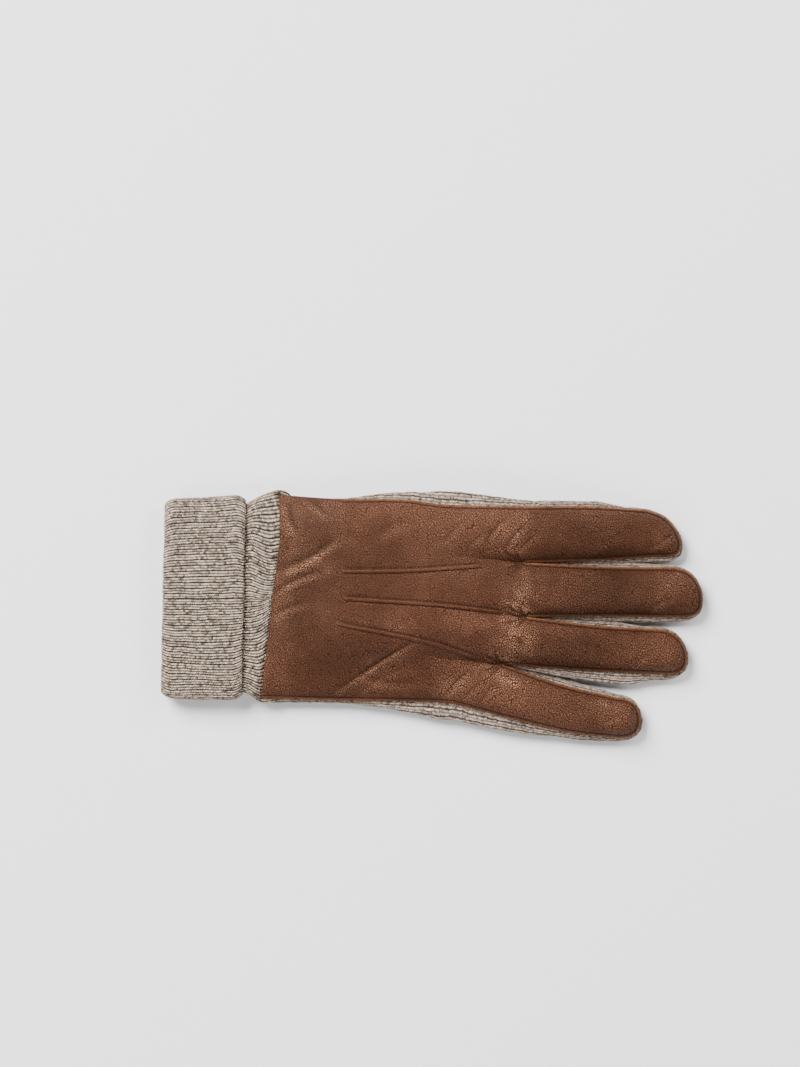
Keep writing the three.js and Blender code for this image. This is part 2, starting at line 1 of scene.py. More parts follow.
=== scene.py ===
"""Scene of a right-hand leather and knit glove that lies back up with its thumb folded under the palm.

The back leather's cut and the smaller palm leather's cut give the plan of the whole glove. Every piece is
worked out from that plan in millimetres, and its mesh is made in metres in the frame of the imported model.
"""

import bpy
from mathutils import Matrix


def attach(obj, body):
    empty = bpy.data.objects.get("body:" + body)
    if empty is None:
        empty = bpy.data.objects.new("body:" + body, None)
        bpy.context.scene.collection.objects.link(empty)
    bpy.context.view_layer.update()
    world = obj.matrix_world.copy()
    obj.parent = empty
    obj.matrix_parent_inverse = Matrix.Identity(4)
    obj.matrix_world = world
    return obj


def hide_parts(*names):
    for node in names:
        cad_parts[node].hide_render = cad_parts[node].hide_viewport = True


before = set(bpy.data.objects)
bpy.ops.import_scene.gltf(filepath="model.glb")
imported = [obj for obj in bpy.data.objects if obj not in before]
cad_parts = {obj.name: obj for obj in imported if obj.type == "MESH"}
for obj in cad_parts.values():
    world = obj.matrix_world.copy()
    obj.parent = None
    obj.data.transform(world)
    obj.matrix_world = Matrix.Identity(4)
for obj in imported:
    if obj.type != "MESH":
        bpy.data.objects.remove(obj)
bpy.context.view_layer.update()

import logging
import math
from collections.abc import Callable, Iterable, Sequence
from dataclasses import dataclass, field
from enum import Enum
from typing import NamedTuple

import bpy
import numpy as np
from mathutils import Vector
from mathutils.bvhtree import BVHTree

log = logging.getLogger("glove")

MM = 0.001
BODY = "root"
TINY = 1e-9

# The lying glove: thicknesses and heights in millimetres, and the powers and shares that shape its curves
LEATHER = 1.3
KNIT = 1.8
PALM_CROWN = 15.5
PALM_EDGE = 9.0
FINGER_CROWN = (15.5, 13.5)
FINGER_EDGE = (9.5, 8.0)
CROWN_POWER = 3.0
PALM_CROWN_POWER = 7.0
RIM_LIFT = 1.6
THUMB_LIFT = 11.5
THUMB_GAP = 1.0
LAP = 0.8
RIM_BULGE = 0.12
TIP_SQUARENESS = 0.18
TIP_SQUARENESS_ALONG = 0.6 * TIP_SQUARENESS
TIP_CROWDING = 1.6
FORK_SHARE = 0.8
FORK_FROM = 0.6
FORK_TO = 0.25
FINGER_FLAT = 0.55
PALM_FLAT = 0.8


class Dot(NamedTuple):
    """A plan point."""

    x: float
    y: float


class FingerCut(NamedTuple):
    """A finger's outline: each side at mid length and where the tip's round begins, and the tip."""

    upper: tuple[Dot, Dot]
    apex: Dot
    lower: tuple[Dot, Dot]


class Swell(NamedTuple):
    """How far the knit stands out past the back leather at a place along X."""

    x: float
    out: float


class Girth(NamedTuple):
    """The cuff's outer face at a place along X: its index side, little side, roof and base."""

    x: float
    index_side: float
    little_side: float
    roof: float
    base: float


class Bend(NamedTuple):
    """A place on the path of the cuff's wall: along X, and inwards from the outer face."""

    x: float
    depth: float


class SoftPatch(NamedTuple):
    """A soft patch on the leather: its middle, half length, half width, turn in degrees and strength."""

    middle: Dot
    length: float
    width: float
    turn: float
    strength: float


class Crease(NamedTuple):
    """A fold in the leather: its ends, how far it bows sideways, its depth, half width and bank."""

    start: Dot
    end: Dot
    bow: float
    depth: float
    width: float
    bank: float


class Ripple(NamedTuple):
    """A layer of unevenness: its height, the usual length of its waves and the number that fixes them."""

    height: float
    wavelength: float
    seed: int


class Bead(NamedTuple):
    """A line of relief beside an edge: its distance from the edge, its height and its half width."""

    place: float
    height: float
    width: float


class Rise(NamedTuple):
    """A smooth rise from 0 to 1: where it begins and where it ends."""

    low: float
    high: float


# The back leather's outline
WRIST = (Dot(-79.2, 63), Dot(-78.8, 39.8), Dot(-81.9, 13.8), Dot(-85, -12.2), Dot(-88.9, -42.9))
INDEX_SIDE = (Dot(-50.7, 60.9), Dot(-16.4, 60.6), Dot(0.3, 58.5), Dot(14.8, 57.5))
LITTLE_SIDE = (Dot(-43.7, -44), Dot(-14.8, -44.5), Dot(9.1, -45.5), Dot(24.2, -49.1))
CROTCHES = (Dot(48.1, 27.8), Dot(49.7, -0.3), Dot(37.4, -25.2))
INDEX_ROOT = Dot(48.1, 56.9)
LITTLE_ROOT = Dot(37.4, -52.6)
FINGERS = (
    FingerCut((Dot(82.4, 56.9), Dot(110, 55.4)), Dot(129.2, 41.3), (Dot(87.1, 28.9), Dot(118.8, 30.9))),
    FingerCut((Dot(87.6, 25.7), Dot(125.1, 25.2)), Dot(141, 11.7), (Dot(92.8, -0.1), Dot(130.3, -0.8))),
    FingerCut((Dot(87.6, -5.2), Dot(117.8, -7)), Dot(132.9, -19), (Dot(82.4, -28.6), Dot(123, -30.6))),
    FingerCut((Dot(66.8, -35.6), Dot(96.5, -42.6)), Dot(108.9, -53.3), (Dot(72, -60.8), Dot(98, -63.7))),
)

# How far the palm leather's edges lie inside the back's, from the wrist to the fingers
PALM_INSET_INDEX = (12.0, 11.0, 9.0, 6.0)
PALM_INSET_LITTLE = (8.0, 8.0, 8.0, 6.0)
PALM_INSET_FINGER = 4.3
PALM_INSET_TIP = 4.5
PALM_INSET_CROTCH = 3.0

# Where the folded thumb raises the hand
LIFT_FROM_X, LIFT_FULL_X, LIFT_HOLD_X, LIFT_TO_X = -84.0, -42.0, 58.0, 112.0
LIFT_FROM_Y, LIFT_FULL_Y = -36.0, -4.0

# The knit's swell along the outer sides and along each finger's upper and lower side
INDEX_SWELL = (
    Swell(-79, -0.9), Swell(-46, -0.9), Swell(-38, 0.6), Swell(-27, 2.1), Swell(-9, 4.2), Swell(2, 6.4),
    Swell(15, 6.8), Swell(36, 4.4), Swell(51, 2.8), Swell(88, 2.6), Swell(100, 0.4), Swell(130, 0.6),
)
LITTLE_SWELL = (
    Swell(-89, 2.2), Swell(-60, 1.2), Swell(-43, 1.4), Swell(-27, 3.2), Swell(-9, 6.2), Swell(3, 8.6),
    Swell(14, 8.4), Swell(33, 7.4), Swell(51, 6), Swell(67, 3.4), Swell(88, 2.4), Swell(108, 1.2),
)
FINGER_SWELLS = {
    "index_lower": (Swell(48, 6), Swell(100, 3.4), Swell(112, 2.8), Swell(126, 2.4), Swell(130, 0.6)),
    "middle_upper": (Swell(48, 6), Swell(90, 3), Swell(112, 1.6), Swell(141, 0.2)),
    "middle_lower": (Swell(48, 6), Swell(104, 4.2), Swell(122, 2.6), Swell(136, 1.6), Swell(141, 0.2)),
    "ring_upper": (Swell(48, 6), Swell(90, 3), Swell(112, 1), Swell(133, 0.4)),
    "ring_lower": (
        Swell(37, 7), Swell(88, 7.6), Swell(104, 5.8), Swell(114, 3.8), Swell(126, 2.4), Swell(133, 0.6),
    ),
    "little_upper": (Swell(37, 6), Swell(76, 2.8), Swell(92, 2), Swell(109, 0.6)),
}
GAP_FILL = 0.47

# The cuff: how many ribs go round it, how far it slants, its sizes along X and its wall's path
CUFF_RIBS = 80
CUFF_SHEAR = 0.021
CUFF_GIRTHS = (
    Girth(-141.2, 60.2, -41.8, 16.6, 0.2),
    Girth(-136, 61.4, -43.2, 17.4, 0),
    Girth(-122, 61.9, -43.9, 17.8, 0),
    Girth(-108, 62.8, -44, 17.9, 0),
    Girth(-101.5, 63.4, -44.2, 18.1, 0),
    Girth(-97.5, 60.6, -41.4, 17.6, 0),
    Girth(-79, 60.6, -41.2, 17.6, 0),
)
CUFF_PATH = (
    Bend(-103.6, 2.3), Bend(-100, 2.3), Bend(-98, 1.9), Bend(-97.4, 1), Bend(-98, 0.2), Bend(-99.9, -0.1),
    Bend(-103.6, 0), Bend(-118, 0), Bend(-132, 0), Bend(-137.1, 0.4), Bend(-139.6, 1.7), Bend(-140.1, 3.1),
    Bend(-139, 4.6), Bend(-136, 5.1), Bend(-131, 5.1),
)
CUFF_LINING_PATH = (Bend(-131.4, 5.1), Bend(-118, 5.1), Bend(-100, 5.2), Bend(-84, 5.4))
WRIST_RIBS = 74
WRIST_GIRTHS = (
    Girth(-103, 57.2, -39.4, 14.2, 2.4),
    Girth(-97, 58, -40, 14.4, 2.2),
    Girth(-93.6, 60.6, -42.2, 14.8, 1.8),
    Girth(-89.6, 62.6, -45.8, 15.1, 1.2),
    Girth(-84, 64.8, -46, 14.6, 1),
    Girth(-79.5, 66, -44, 13.8, 1.4),
    Girth(-75.5, 65.4, -43.4, 13.4, 1.8),
    Girth(-70, 60, -40, 13, 2.4),
)
WRIST_PATH = (
    Bend(-70.5, 1.4), Bend(-70.5, 0.7), Bend(-71, 0), Bend(-88, 0), Bend(-103, 0), Bend(-103, 1.4),
)

# How far under the leather's wrist edge the rib stays, and how fast it may rise before the edge and
# beside it
WRIST_CLEARANCE = 0.7
WRIST_SLOPE = 0.85
CORNER_SLOPE = 0.6

# The powers of the cuff's and the wrist's section, where along X one goes over into the other, and the
# middle that the cuff's slant is measured from
CUFF_POWER = 3.4
WRIST_POWER = 2.4
WRIST_ROUNDER = Rise(-97, -82)
CUFF_MIDDLE_Y = 9.5

# The tubes' section: its half sizes, the points round it, how its sizes are read and smoothed along the tube
SECTION_HALF = (52.0, 8.4)
SECTION_POINTS = 4000
GIRTH_STEP = 0.5
GIRTH_MARGIN = 12.0
GIRTH_WINDOW = 17

# A rib's section: how deep the line between its two columns of stitches is beside the groove between ribs,
# the power and fullness of its round, and how it wanders sideways and up and down
WALE_SPLIT = 0.4
WALE_POWER = 2.2
WALE_FULLNESS = 0.97
RIB_WANDER = (Ripple(0.13, 40, 41), Ripple(0.03, 12, 42))
RIB_WAVE = (Ripple(0.3, 26, 43), Ripple(0.12, 8, 44))
RIB_WAVE_DEPTH = 0.5
RIB_WAVE_LEVEL = 0.4

# The lines of the raised tucks, and the folds on the back
TUCKS = (
    (Dot(-46.3, 23.3), Dot(-11.7, 23.7), Dot(27.6, 26.3)),
    (Dot(-45.5, 9.2), Dot(3.1, 5.9), Dot(37.2, 1.6)),
    (Dot(-49.7, -3.6), Dot(-3.2, -13.2), Dot(25.2, -22.6)),
)

BACK_CREASES = (
    Crease(Dot(-80, 24), Dot(-50, 40), -1.5, 0.6, 1.5, 0.4),
    Crease(Dot(-82, 12), Dot(-56, 24), 2, 0.4, 1.2, 0.3),
    Crease(Dot(-84, 0), Dot(-62, 8), 1.2, 0.3, 1.1, 0.2),
    Crease(Dot(-66, 62), Dot(-52, 50), 1, 0.35, 1.2, 0.2),
    Crease(Dot(-74, 60), Dot(-70, 44), -1, 0.3, 1.2, 0.15),
    Crease(Dot(-54, -42), Dot(-9, -12.5), 0.8, 0.55, 0.8, 0.32),
    Crease(Dot(-40, -42), Dot(-16, -27), 1, 0.2, 0.7, 0.15),
    Crease(Dot(6, -42), Dot(20, -28), 1, 0.32, 0.7, 0.18),
    Crease(Dot(14, -45), Dot(27, -33), 0.6, 0.28, 0.6, 0.15),
    Crease(Dot(24, -46), Dot(33, -35), 0.4, 0.28, 0.6, 0.15),
    Crease(Dot(17, 33), Dot(29, 45), 1, 0.3, 0.9, 0.15),
    Crease(Dot(28, 39), Dot(40, 52), 1.2, 0.38, 0.8, 0.2),
    Crease(Dot(37, 35), Dot(50, 49), 1, 0.42, 0.8, 0.2),
    Crease(Dot(44, 33), Dot(56, 44), 0.8, 0.35, 0.7, 0.18),
    Crease(Dot(4, 38), Dot(14, 50), -1, 0.25, 1, 0.15),
    Crease(Dot(118, 37.5), Dot(127.5, 43.5), 0.8, 0.35, 0.7, 0.2),
    Crease(Dot(112, 34.5), Dot(121, 38), 0.5, 0.2, 0.7, 0.15),
    Crease(Dot(112, 2), Dot(124, 9.5), 0.6, 0.22, 0.9, 0.15),
    Crease(Dot(104, -27), Dot(114, -19), 0.6, 0.2, 0.9, 0.15),
    Crease(Dot(88, -57), Dot(99, -51), 0.5, 0.2, 0.8, 0.15),
    Crease(Dot(-30, 40), Dot(-8, 50), 3, 0.2, 2, 0.15),
    Crease(Dot(-36, -30), Dot(-6, -34), -2, 0.18, 1.6, 0.15),
)

# Creases that run out from each crotch: their bearings in degrees from the hand's length and how far they
# go, where they start, and their bow, depth, half width and bank
CROTCH_CREASES = ((150.0, 13.0), (172.0, 9.0), (194.0, 12.0), (216.0, 9.0), (128.0, 8.0))
CROTCH_CREASE_START = 1.5
CROTCH_CREASE_SHAPE = (0.4, 0.55, 0.7, 0.25)

# The folded thumb: its sides, tip and bowed base, the heights of its edges, where along it its faces and its
# wall begin, its knit, its seam and its unevenness
THUMB_UPPER = (Dot(-4, 45), Dot(28, 40), Dot(54, 27))
THUMB_LOWER = (Dot(-65, 20), Dot(-10, 3), Dot(52, -8))
THUMB_APEX = Dot(68, 6)
THUMB_BOW = Dot(-7.5, 7.5)
THUMB_FULL_DEPTH = 0.3
THUMB_EDGE_LIFT = 2.2
THUMB_EDGE_DROP = 0.8
THUMB_FRONT_FROM = 0.42
THUMB_WALL_FROM = 0.2
THUMB_WALL_LAP = 0.06
THUMB_SWELL = 1.4
THUMB_RIBS = 4
THUMB_SEAM = Rise(0.05, 0.2)
THUMB_RIPPLES = (Ripple(0.15, 16, 31),)
THUMB_RIPPLE_EDGE = Rise(0.3, 4)
THUMB_LYING = Rise(0.5, 1)

# The hole in the palm that leads into the thumb
THUMB_HOLE_MIDDLE = (-19.0, 25.0)
THUMB_HOLE_SIZE = (19.0, 11.0)
THUMB_HOLE_TURN = -0.27

# The palm's creases, and the pitch of its gathers at the wrist and of the pucker along its seams
PALM_CREASES = (
    Crease(Dot(30, -46), Dot(42, 20), -4, 0.7, 2, 0),
    Crease(Dot(-20, -40), Dot(10, -10), 5, 0.6, 2.2, 0),
    Crease(Dot(70, 32), Dot(72, 54), 1, 0.5, 1.4, 0),
    Crease(Dot(74, 3), Dot(75, 22), 1, 0.5, 1.4, 0),
    Crease(Dot(72, -24), Dot(74, -8), 1, 0.5, 1.4, 0),
    Crease(Dot(60, -54), Dot(62, -38), 1, 0.5, 1.4, 0),
)
PALM_RIPPLES = (Ripple(0.25, 24, 11), Ripple(0.06, 6, 12))
PALM_GATHER_PITCH = 5.0
PALM_GATHER_HEIGHT = 0.9
PALM_GATHER_LENGTH = 16.0
PALM_GATHER_WANDER = (Ripple(1.2, 18, 14),)
PALM_PUCKER_PITCH = 3.4
PALM_PUCKER_SLANT = 0.6
PALM_PUCKER = Bead(2.4, 0.2, 1.6)
PALM_EDGE_TURN = 0.55
PALM_EDGE_TURN_WIDTH = 1.3
PATCH_FROM = 0.75
PATCH_SEAM = Bead(0, 0.5, 0.7)
FAR_FROM_SEAM = 9.0

# The knit: the length of its stitches, and the side walls' ribs, how far the last one is hidden, the samples
# across each, and its depth, level and unevenness
STITCH = 1.33
WALL_RIBS = 7
WALL_HIDDEN_SHARE = 0.05
WALL_RIB_SAMPLES = 4
WALL_RIB_DEPTH = 0.34
WALL_RIB_LEVEL = 0.6
WALL_RIPPLES = (Ripple(0.14, 7, 21),)
WALL_RIPPLE_PITCH = 1.3

# A wall's section: how far its curve is drawn down and up from its edges, and its thickness where it faces
# up or down, as a share of KNIT and as the most of the wall's height
WALL_TOP_PULL = 0.15
WALL_FOOT_PULL = 0.1
WALL_THICKNESS = 0.6
WALL_MOST_THICKNESS = 0.2

# A wall's stations, the stations over which its swell is smoothed, and its gaps
WALL_STATION = 0.42
WALL_SMOOTHING = 6
KNIT_CLEARANCE = 0.06
WALL_FOOT_GAP = 5 * KNIT_CLEARANCE
WALL_WRIST_GAP = 0.6
WALL_TIP_GAP = 0.15

# Places on the back where a painted highlight lies on the lit side of the pebbles, and patches that are
# drawn darker
HIGHLIGHT_PLACES = (
    SoftPatch(Dot(-73, 48), 13, 6, 85, 0.3),
    SoftPatch(Dot(-69, 24), 15, 7, 33, 0.3),
    SoftPatch(Dot(-79, 2), 12, 5, 62, 0.25),
    SoftPatch(Dot(46, 8), 14, 8, 72, 0.5),
    SoftPatch(Dot(45, -14), 13, 9, 80, 0.6),
    SoftPatch(Dot(38, -32), 12, 8, 120, 0.4),
    SoftPatch(Dot(38, 40), 13, 6, 45, 0.25),
    SoftPatch(Dot(12, -36), 9, 5, 40, 0.4),
    SoftPatch(Dot(-24, -24), 18, 5, 33, 0.25),
    SoftPatch(Dot(88, -47), 16, 6, -22, 0.2),
    SoftPatch(Dot(123, 14), 9, 5, 30, 0.2),
)
DARK_PLACES = (
    SoftPatch(Dot(98, 13), 42, 15, 0, 0.85),
    SoftPatch(Dot(92, 44), 40, 15, 0, 0.5),
    SoftPatch(Dot(88, -16), 36, 13, 0, 0.5),
    SoftPatch(Dot(80, -46), 28, 12, -20, 0.55),
    SoftPatch(Dot(-68, 34), 24, 40, 0, 0.7),
    SoftPatch(Dot(-56, -26), 20, 14, 0, 0.3),
    SoftPatch(Dot(2, 31), 52, 16, 0, 0.5),
    SoftPatch(Dot(-72, 1), 16, 26, 0, 0.35),
)

# The folds: their gain over the table's depths, the depths at which a fold's painted shade is darkest
# and its painted dark line is full, the height at which the painted highlight on its bank is lightest, and
# where beside a fold its line ends
FOLD_GAIN = 1.7
FULL_HOLLOW = 1.1
FULL_LINE = 0.7
FULL_BANK = 1.0
CREASE_LINE = Rise(1.3, 2.2)

# A fold's shape: the points of its line, how it fades at its ends, its bank's place and spread, its reach
CREASE_POINTS = 9
CREASE_END = 0.02
CREASE_FADE_POWER = 0.7
BANK_OFFSET = 1.2
BANK_SPREAD = 0.7
CREASE_REACH = 6.0
CREASE_MARGIN = 4.0

# The back's unevenness, and how it flattens out towards the cut edge
RIPPLE_SPREAD = (0.7, 1.5)
BACK_RIPPLES = (Ripple(0.36, 30, 3), Ripple(0.1, 10, 5), Ripple(0.04, 4.2, 8))
# The ripples below break up the patches of painted highlight.
HIGHLIGHT_RIPPLES = (Ripple(0.5, 8, 61),)
EDGE_FLAT = Rise(0.4, 3.5)
EDGE_DROP = 0.25
EDGE_DROP_WIDTH = 0.35
WRIST_DROP = 0.5
WRIST_DROP_WIDTH = 1.1
EDGE_PLAINNESS = 0.6

# Where the index side's edge goes over from rolled to raw, and the share of the rim that this side takes
RAW_EDGE = Rise(-56, -36)
INDEX_SIDE_SHARE = 0.25

# The loose fibres of the knit
FIBRE_LEAN = 0.8
FIBRE_LENGTHS = (0.6, 1.8)
FIBRE_ROOT = 0.2
FIBRE_CURL = 0.45
FIBRE_RADIUS = 0.04
FIBRE_TAPER = 0.6
FIBRE_STATIONS = 3
FIBRE_SIDES = 3
FIBRES_PER_STATION = 3.0
WALL_FIBRE_SEED = 80
CUFF_FIBRE_SEED = 70

# A stitch's section: its sides, the stations along it and its girth at each
THREAD_SIDES = 6
THREAD_STATIONS = (-0.5, -0.36, 0.0, 0.36, 0.5)
THREAD_GIRTHS = (0.25, 0.85, 1.0, 0.85, 0.25)

# The row of stitches round the back's edge, and the groove and the bead beside it
EDGE_STITCH = 1.5
EDGE_STITCH_FROM_X = -46.0
EDGE_STITCH_SINK = 0.02
EDGE_STEP = 0.5
EDGE_BEADS = (Bead(EDGE_STITCH, -0.42, 0.42), Bead(0.7, 0.16, 0.4))
STITCH_PITCH = 1.9
STITCH_LENGTH = 1.35
STITCH_THICKNESS = 0.36

# The raised tucks: their stitches, their section, the bed that they lie in, the painted shade lines along
# their feet, and how far they are polished and painted with a highlight
TUCK_STITCH_PITCH = 1.75
TUCK_STITCH_LENGTH = 1.0
TUCK_STITCH_THICKNESS = 0.52
TUCK_STITCH_OFFSET = 1.9
TUCK_STITCH_SINK = -0.06
TUCK_STITCH_SPAN = slice(3, -5)
TUCK_STATIONS = 130
TUCK_ROUND_POINTS = 9
TUCK_LEFT_FOOT = (-1.75, -1.65, -1.1)
TUCK_RIGHT_FOOT = (1.1, 1.4, 1.5)
TUCK_BURIED_FROM = 1.4
TUCK_BURIED = -0.3
TUCK_FOOT = 0.08
TUCK_ROUND_DROP = 0.12
TUCK_HALF_WIDTH = 1.05
TUCK_END_WIDTH = 0.55
TUCK_HEIGHT = 1.1
TUCK_START = Rise(0, 0.012)
TUCK_END = Rise(0.95, 1)
TUCK_LINE = 0.45
TUCK_LINE_RISE = Rise(0.8, 1.05)
TUCK_RIGHT_LINE = 0.7
TUCK_PLAIN = 0.5
TUCK_POLISH_AND_HIGHLIGHT = 0.2
TUCK_BED = Bead(0, -0.3, 1.7)
TUCK_BED_START = Rise(0, 0.03)
TUCK_BED_END = Rise(0.97, 1)


def mix(a, b, share):
    """Blend two values or arrays.

    Args:
        a: the value at share 0.
        b: the value at share 1.
        share: the blend, a number or an array.

    Returns:
        The blended value.
    """
    return a + (b - a) * share


def smoothstep(low: float, high: float, value: np.ndarray) -> np.ndarray:
    """Rise smoothly from 0 to 1 between two places.

    Args:
        low: where the rise begins.
        high: where it ends.
        value: the places to read it at.

    Returns:
        The rise at each place.
    """
    t = np.clip((value - low) / (high - low), 0.0, 1.0)
    return t * t * (3.0 - 2.0 * t)


def bell(distance: np.ndarray, width: float) -> np.ndarray:
    """Give a smooth bump that fades over a width.

    Args:
        distance: how far each place is from the bump's middle.
        width: the distance at which it has fallen to a third.

    Returns:
        The bump at each place, 1 in its middle.
    """
    return np.exp(-((distance / width) ** 2))


def run_along(line: np.ndarray) -> np.ndarray:
    """Measure the way along a line of short pieces.

    Args:
        line: its points.

    Returns:
        The distance from its start to each point.
    """
    return np.concatenate([[0.0], np.cumsum(np.hypot(*np.diff(line, axis=0).T))])


def read_along(values: np.ndarray, run: np.ndarray, places: np.ndarray) -> np.ndarray:
    """Read what the points of a line carry at other places along it.

    Args:
        values: a number, or a row of numbers, for each of its points.
        run: the distance to each of its points.
        places: the distances to read at.

    Returns:
        A number or a row for each place.
    """
    if values.ndim == 1:
        return np.interp(places, run, values)
    return np.column_stack([np.interp(places, run, column) for column in values.T])


class Curve:
    """A smooth curve through plan points, read by its share of length."""

    STEPS = 48

    def __init__(self, dots: Sequence[Sequence[float]]) -> None:
        """Sample the curve.

        Args:
            dots: the points that it passes through, each with two coordinates.
        """
        given = np.array([(dot[0], dot[1]) for dot in dots], dtype=float)
        before = 2 * given[0] - given[1]
        after = 2 * given[-1] - given[-2]
        padded = np.vstack([before, given, after])
        t = np.linspace(0, 1, self.STEPS, endpoint=False)[:, None]
        spans = []
        for a, b, c, d in zip(padded, padded[1:], padded[2:], padded[3:]):
            linear = (c - a) * t
            square = (2 * a - 5 * b + 4 * c - d) * t**2
            cube = (3 * b - a - 3 * c + d) * t**3
            spans.append(0.5 * (2 * b + linear + square + cube))
        self.points = np.vstack([*spans, given[-1:]])
        self.run = run_along(self.points)
        self.length = float(self.run[-1])

    def at(self, share: np.ndarray) -> np.ndarray:
        """Read the curve.

        Args:
            share: the shares of its length, from 0 to 1.

        Returns:
            A row with two coordinates for each share.
        """
        return read_along(self.points, self.run, np.clip(np.atleast_1d(share), 0.0, 1.0) * self.length)


def lift(xy: np.ndarray) -> np.ndarray:
    """Say how far the folded thumb raises the hand.

    Args:
        xy: plan points.

    Returns:
        The rise at each point.
    """
    x, y = xy[..., 0], xy[..., 1]
    along = smoothstep(LIFT_FROM_X, LIFT_FULL_X, x) * (1 - smoothstep(LIFT_HOLD_X, LIFT_TO_X, x))
    return THUMB_LIFT * along * smoothstep(LIFT_FROM_Y, LIFT_FULL_Y, y)


def distance_to_line(xy: np.ndarray, line: np.ndarray) -> tuple[np.ndarray, np.ndarray, np.ndarray]:
    """Measure how far points are from a line of short pieces.

    Args:
        xy: the points.
        line: the line's own points.

    Returns:
        The distance of each point, the share of the line's length that is nearest, and the side, 1 on its
        left.
    """
    best = np.full(len(xy), np.inf)
    share = np.zeros(len(xy))
    side = np.ones(len(xy))
    run = run_along(line)
    for a, b, start, step in zip(line, line[1:], run, np.diff(run)):
        along = (b - a) / max(step, TINY)
        offset = xy - a
        t = np.clip(offset @ along, 0.0, step)
        gap = offset - t[:, None] * along
        distance = np.hypot(gap[:, 0], gap[:, 1])
        nearer = distance < best
        best[nearer] = distance[nearer]
        share[nearer] = (start + t[nearer]) / run[-1]
        turn = along[0] * offset[:, 1] - along[1] * offset[:, 0]
        side[nearer] = np.where(turn[nearer] >= 0, 1.0, -1.0)
    return best, share, side


def ripples(xy: np.ndarray, wavelength: float, seed: int, waves: int = 14) -> np.ndarray:
    """Give a soft uneven surface as a sum of waves in all directions.

    Args:
        xy: plan points.
        wavelength: the usual length of a wave.
        seed: the number that fixes the waves.
        waves: how many waves are added.

    Returns:
        The height at each point, mostly from -1 to 1.
    """
    chance = np.random.default_rng(seed)
    total = np.zeros(xy.shape[:-1])
    for _ in range(waves):
        bearing, phase = chance.uniform(0, 2 * math.pi, 2)
        pace = 2 * math.pi / (wavelength * chance.uniform(*RIPPLE_SPREAD))
        total += np.sin(pace * (xy[..., 0] * math.cos(bearing) + xy[..., 1] * math.sin(bearing)) + phase)
    return total / math.sqrt(waves)


def unevenness(xy: np.ndarray, layers: Sequence[Ripple], upwards: bool = False) -> np.ndarray:
    """Add up layers of ripples.

    Args:
        xy: plan points.
        layers: the layers.
        upwards: whether they only rise from the surface.

    Returns:
        The height at each point.
    """
    total = np.zeros(xy.shape[:-1])
    for layer in layers:
        wave = ripples(xy, layer.wavelength, layer.seed)
        total += layer.height * (1 + np.clip(wave, -1, 1) if upwards else wave)
    return total


@dataclass
class Limb:
    """A finger of a cut, with its two sides as curves."""

    upper: Curve
    lower: Curve
    cap_upper: np.ndarray
    cap_lower: np.ndarray
    apex: np.ndarray


@dataclass
class HandCut:
    """The outline of one hand panel: its rails from the wrist to the crotches, and its fingers."""

    rails: list[Curve]
    limbs: list[Limb]


def limb_of(root_upper: Dot, root_lower: Dot, finger: FingerCut) -> Limb:
    """Make a finger's sides.

    Args:
        root_upper: where its upper side begins.
        root_lower: where its lower side begins.
        finger: its outline.

    Returns:
        The limb.
    """
    return Limb(
        upper=Curve([root_upper, *finger.upper]),
        lower=Curve([root_lower, *finger.lower]),
        cap_upper=np.array(finger.upper[-1]),
        cap_lower=np.array(finger.lower[-1]),
        apex=np.array(finger.apex),
    )


def hand_cut(
    wrist: Sequence[Dot],
    sides: tuple[Sequence[Dot], Sequence[Dot]],
    roots: Sequence[Dot],
    fingers: Sequence[FingerCut],
) -> HandCut:
    """Make the outline of a hand panel.

    Args:
        wrist: where each rail begins at the wrist edge, from the index side on.
        sides: the points that shape the index side and the little side between the wrist and the fingers.
        roots: where each rail ends: the index finger's root, the crotches and the little finger's root.
        fingers: the fingers' outlines.

    Returns:
        The cut.
    """
    between = {0: sides[0], len(roots) - 1: sides[1]}
    rails = [Curve([wrist[k], *between.get(k, ()), root]) for k, root in enumerate(roots)]
    limbs = [limb_of(roots[k], roots[k + 1], finger) for k, finger in enumerate(fingers)]
    return HandCut(rails, limbs)


def back_cut() -> HandCut:
    """Make the back leather's outline.

    Returns:
        The cut.
    """
    return hand_cut(WRIST, (INDEX_SIDE, LITTLE_SIDE), (INDEX_ROOT, *CROTCHES, LITTLE_ROOT), FINGERS)


def wrist_x(y: float) -> float:
    """Find the wrist edge's place along X.

    Args:
        y: the place across it.

    Returns:
        The place along X.
    """
    return float(np.interp(y, *wrist_line()))


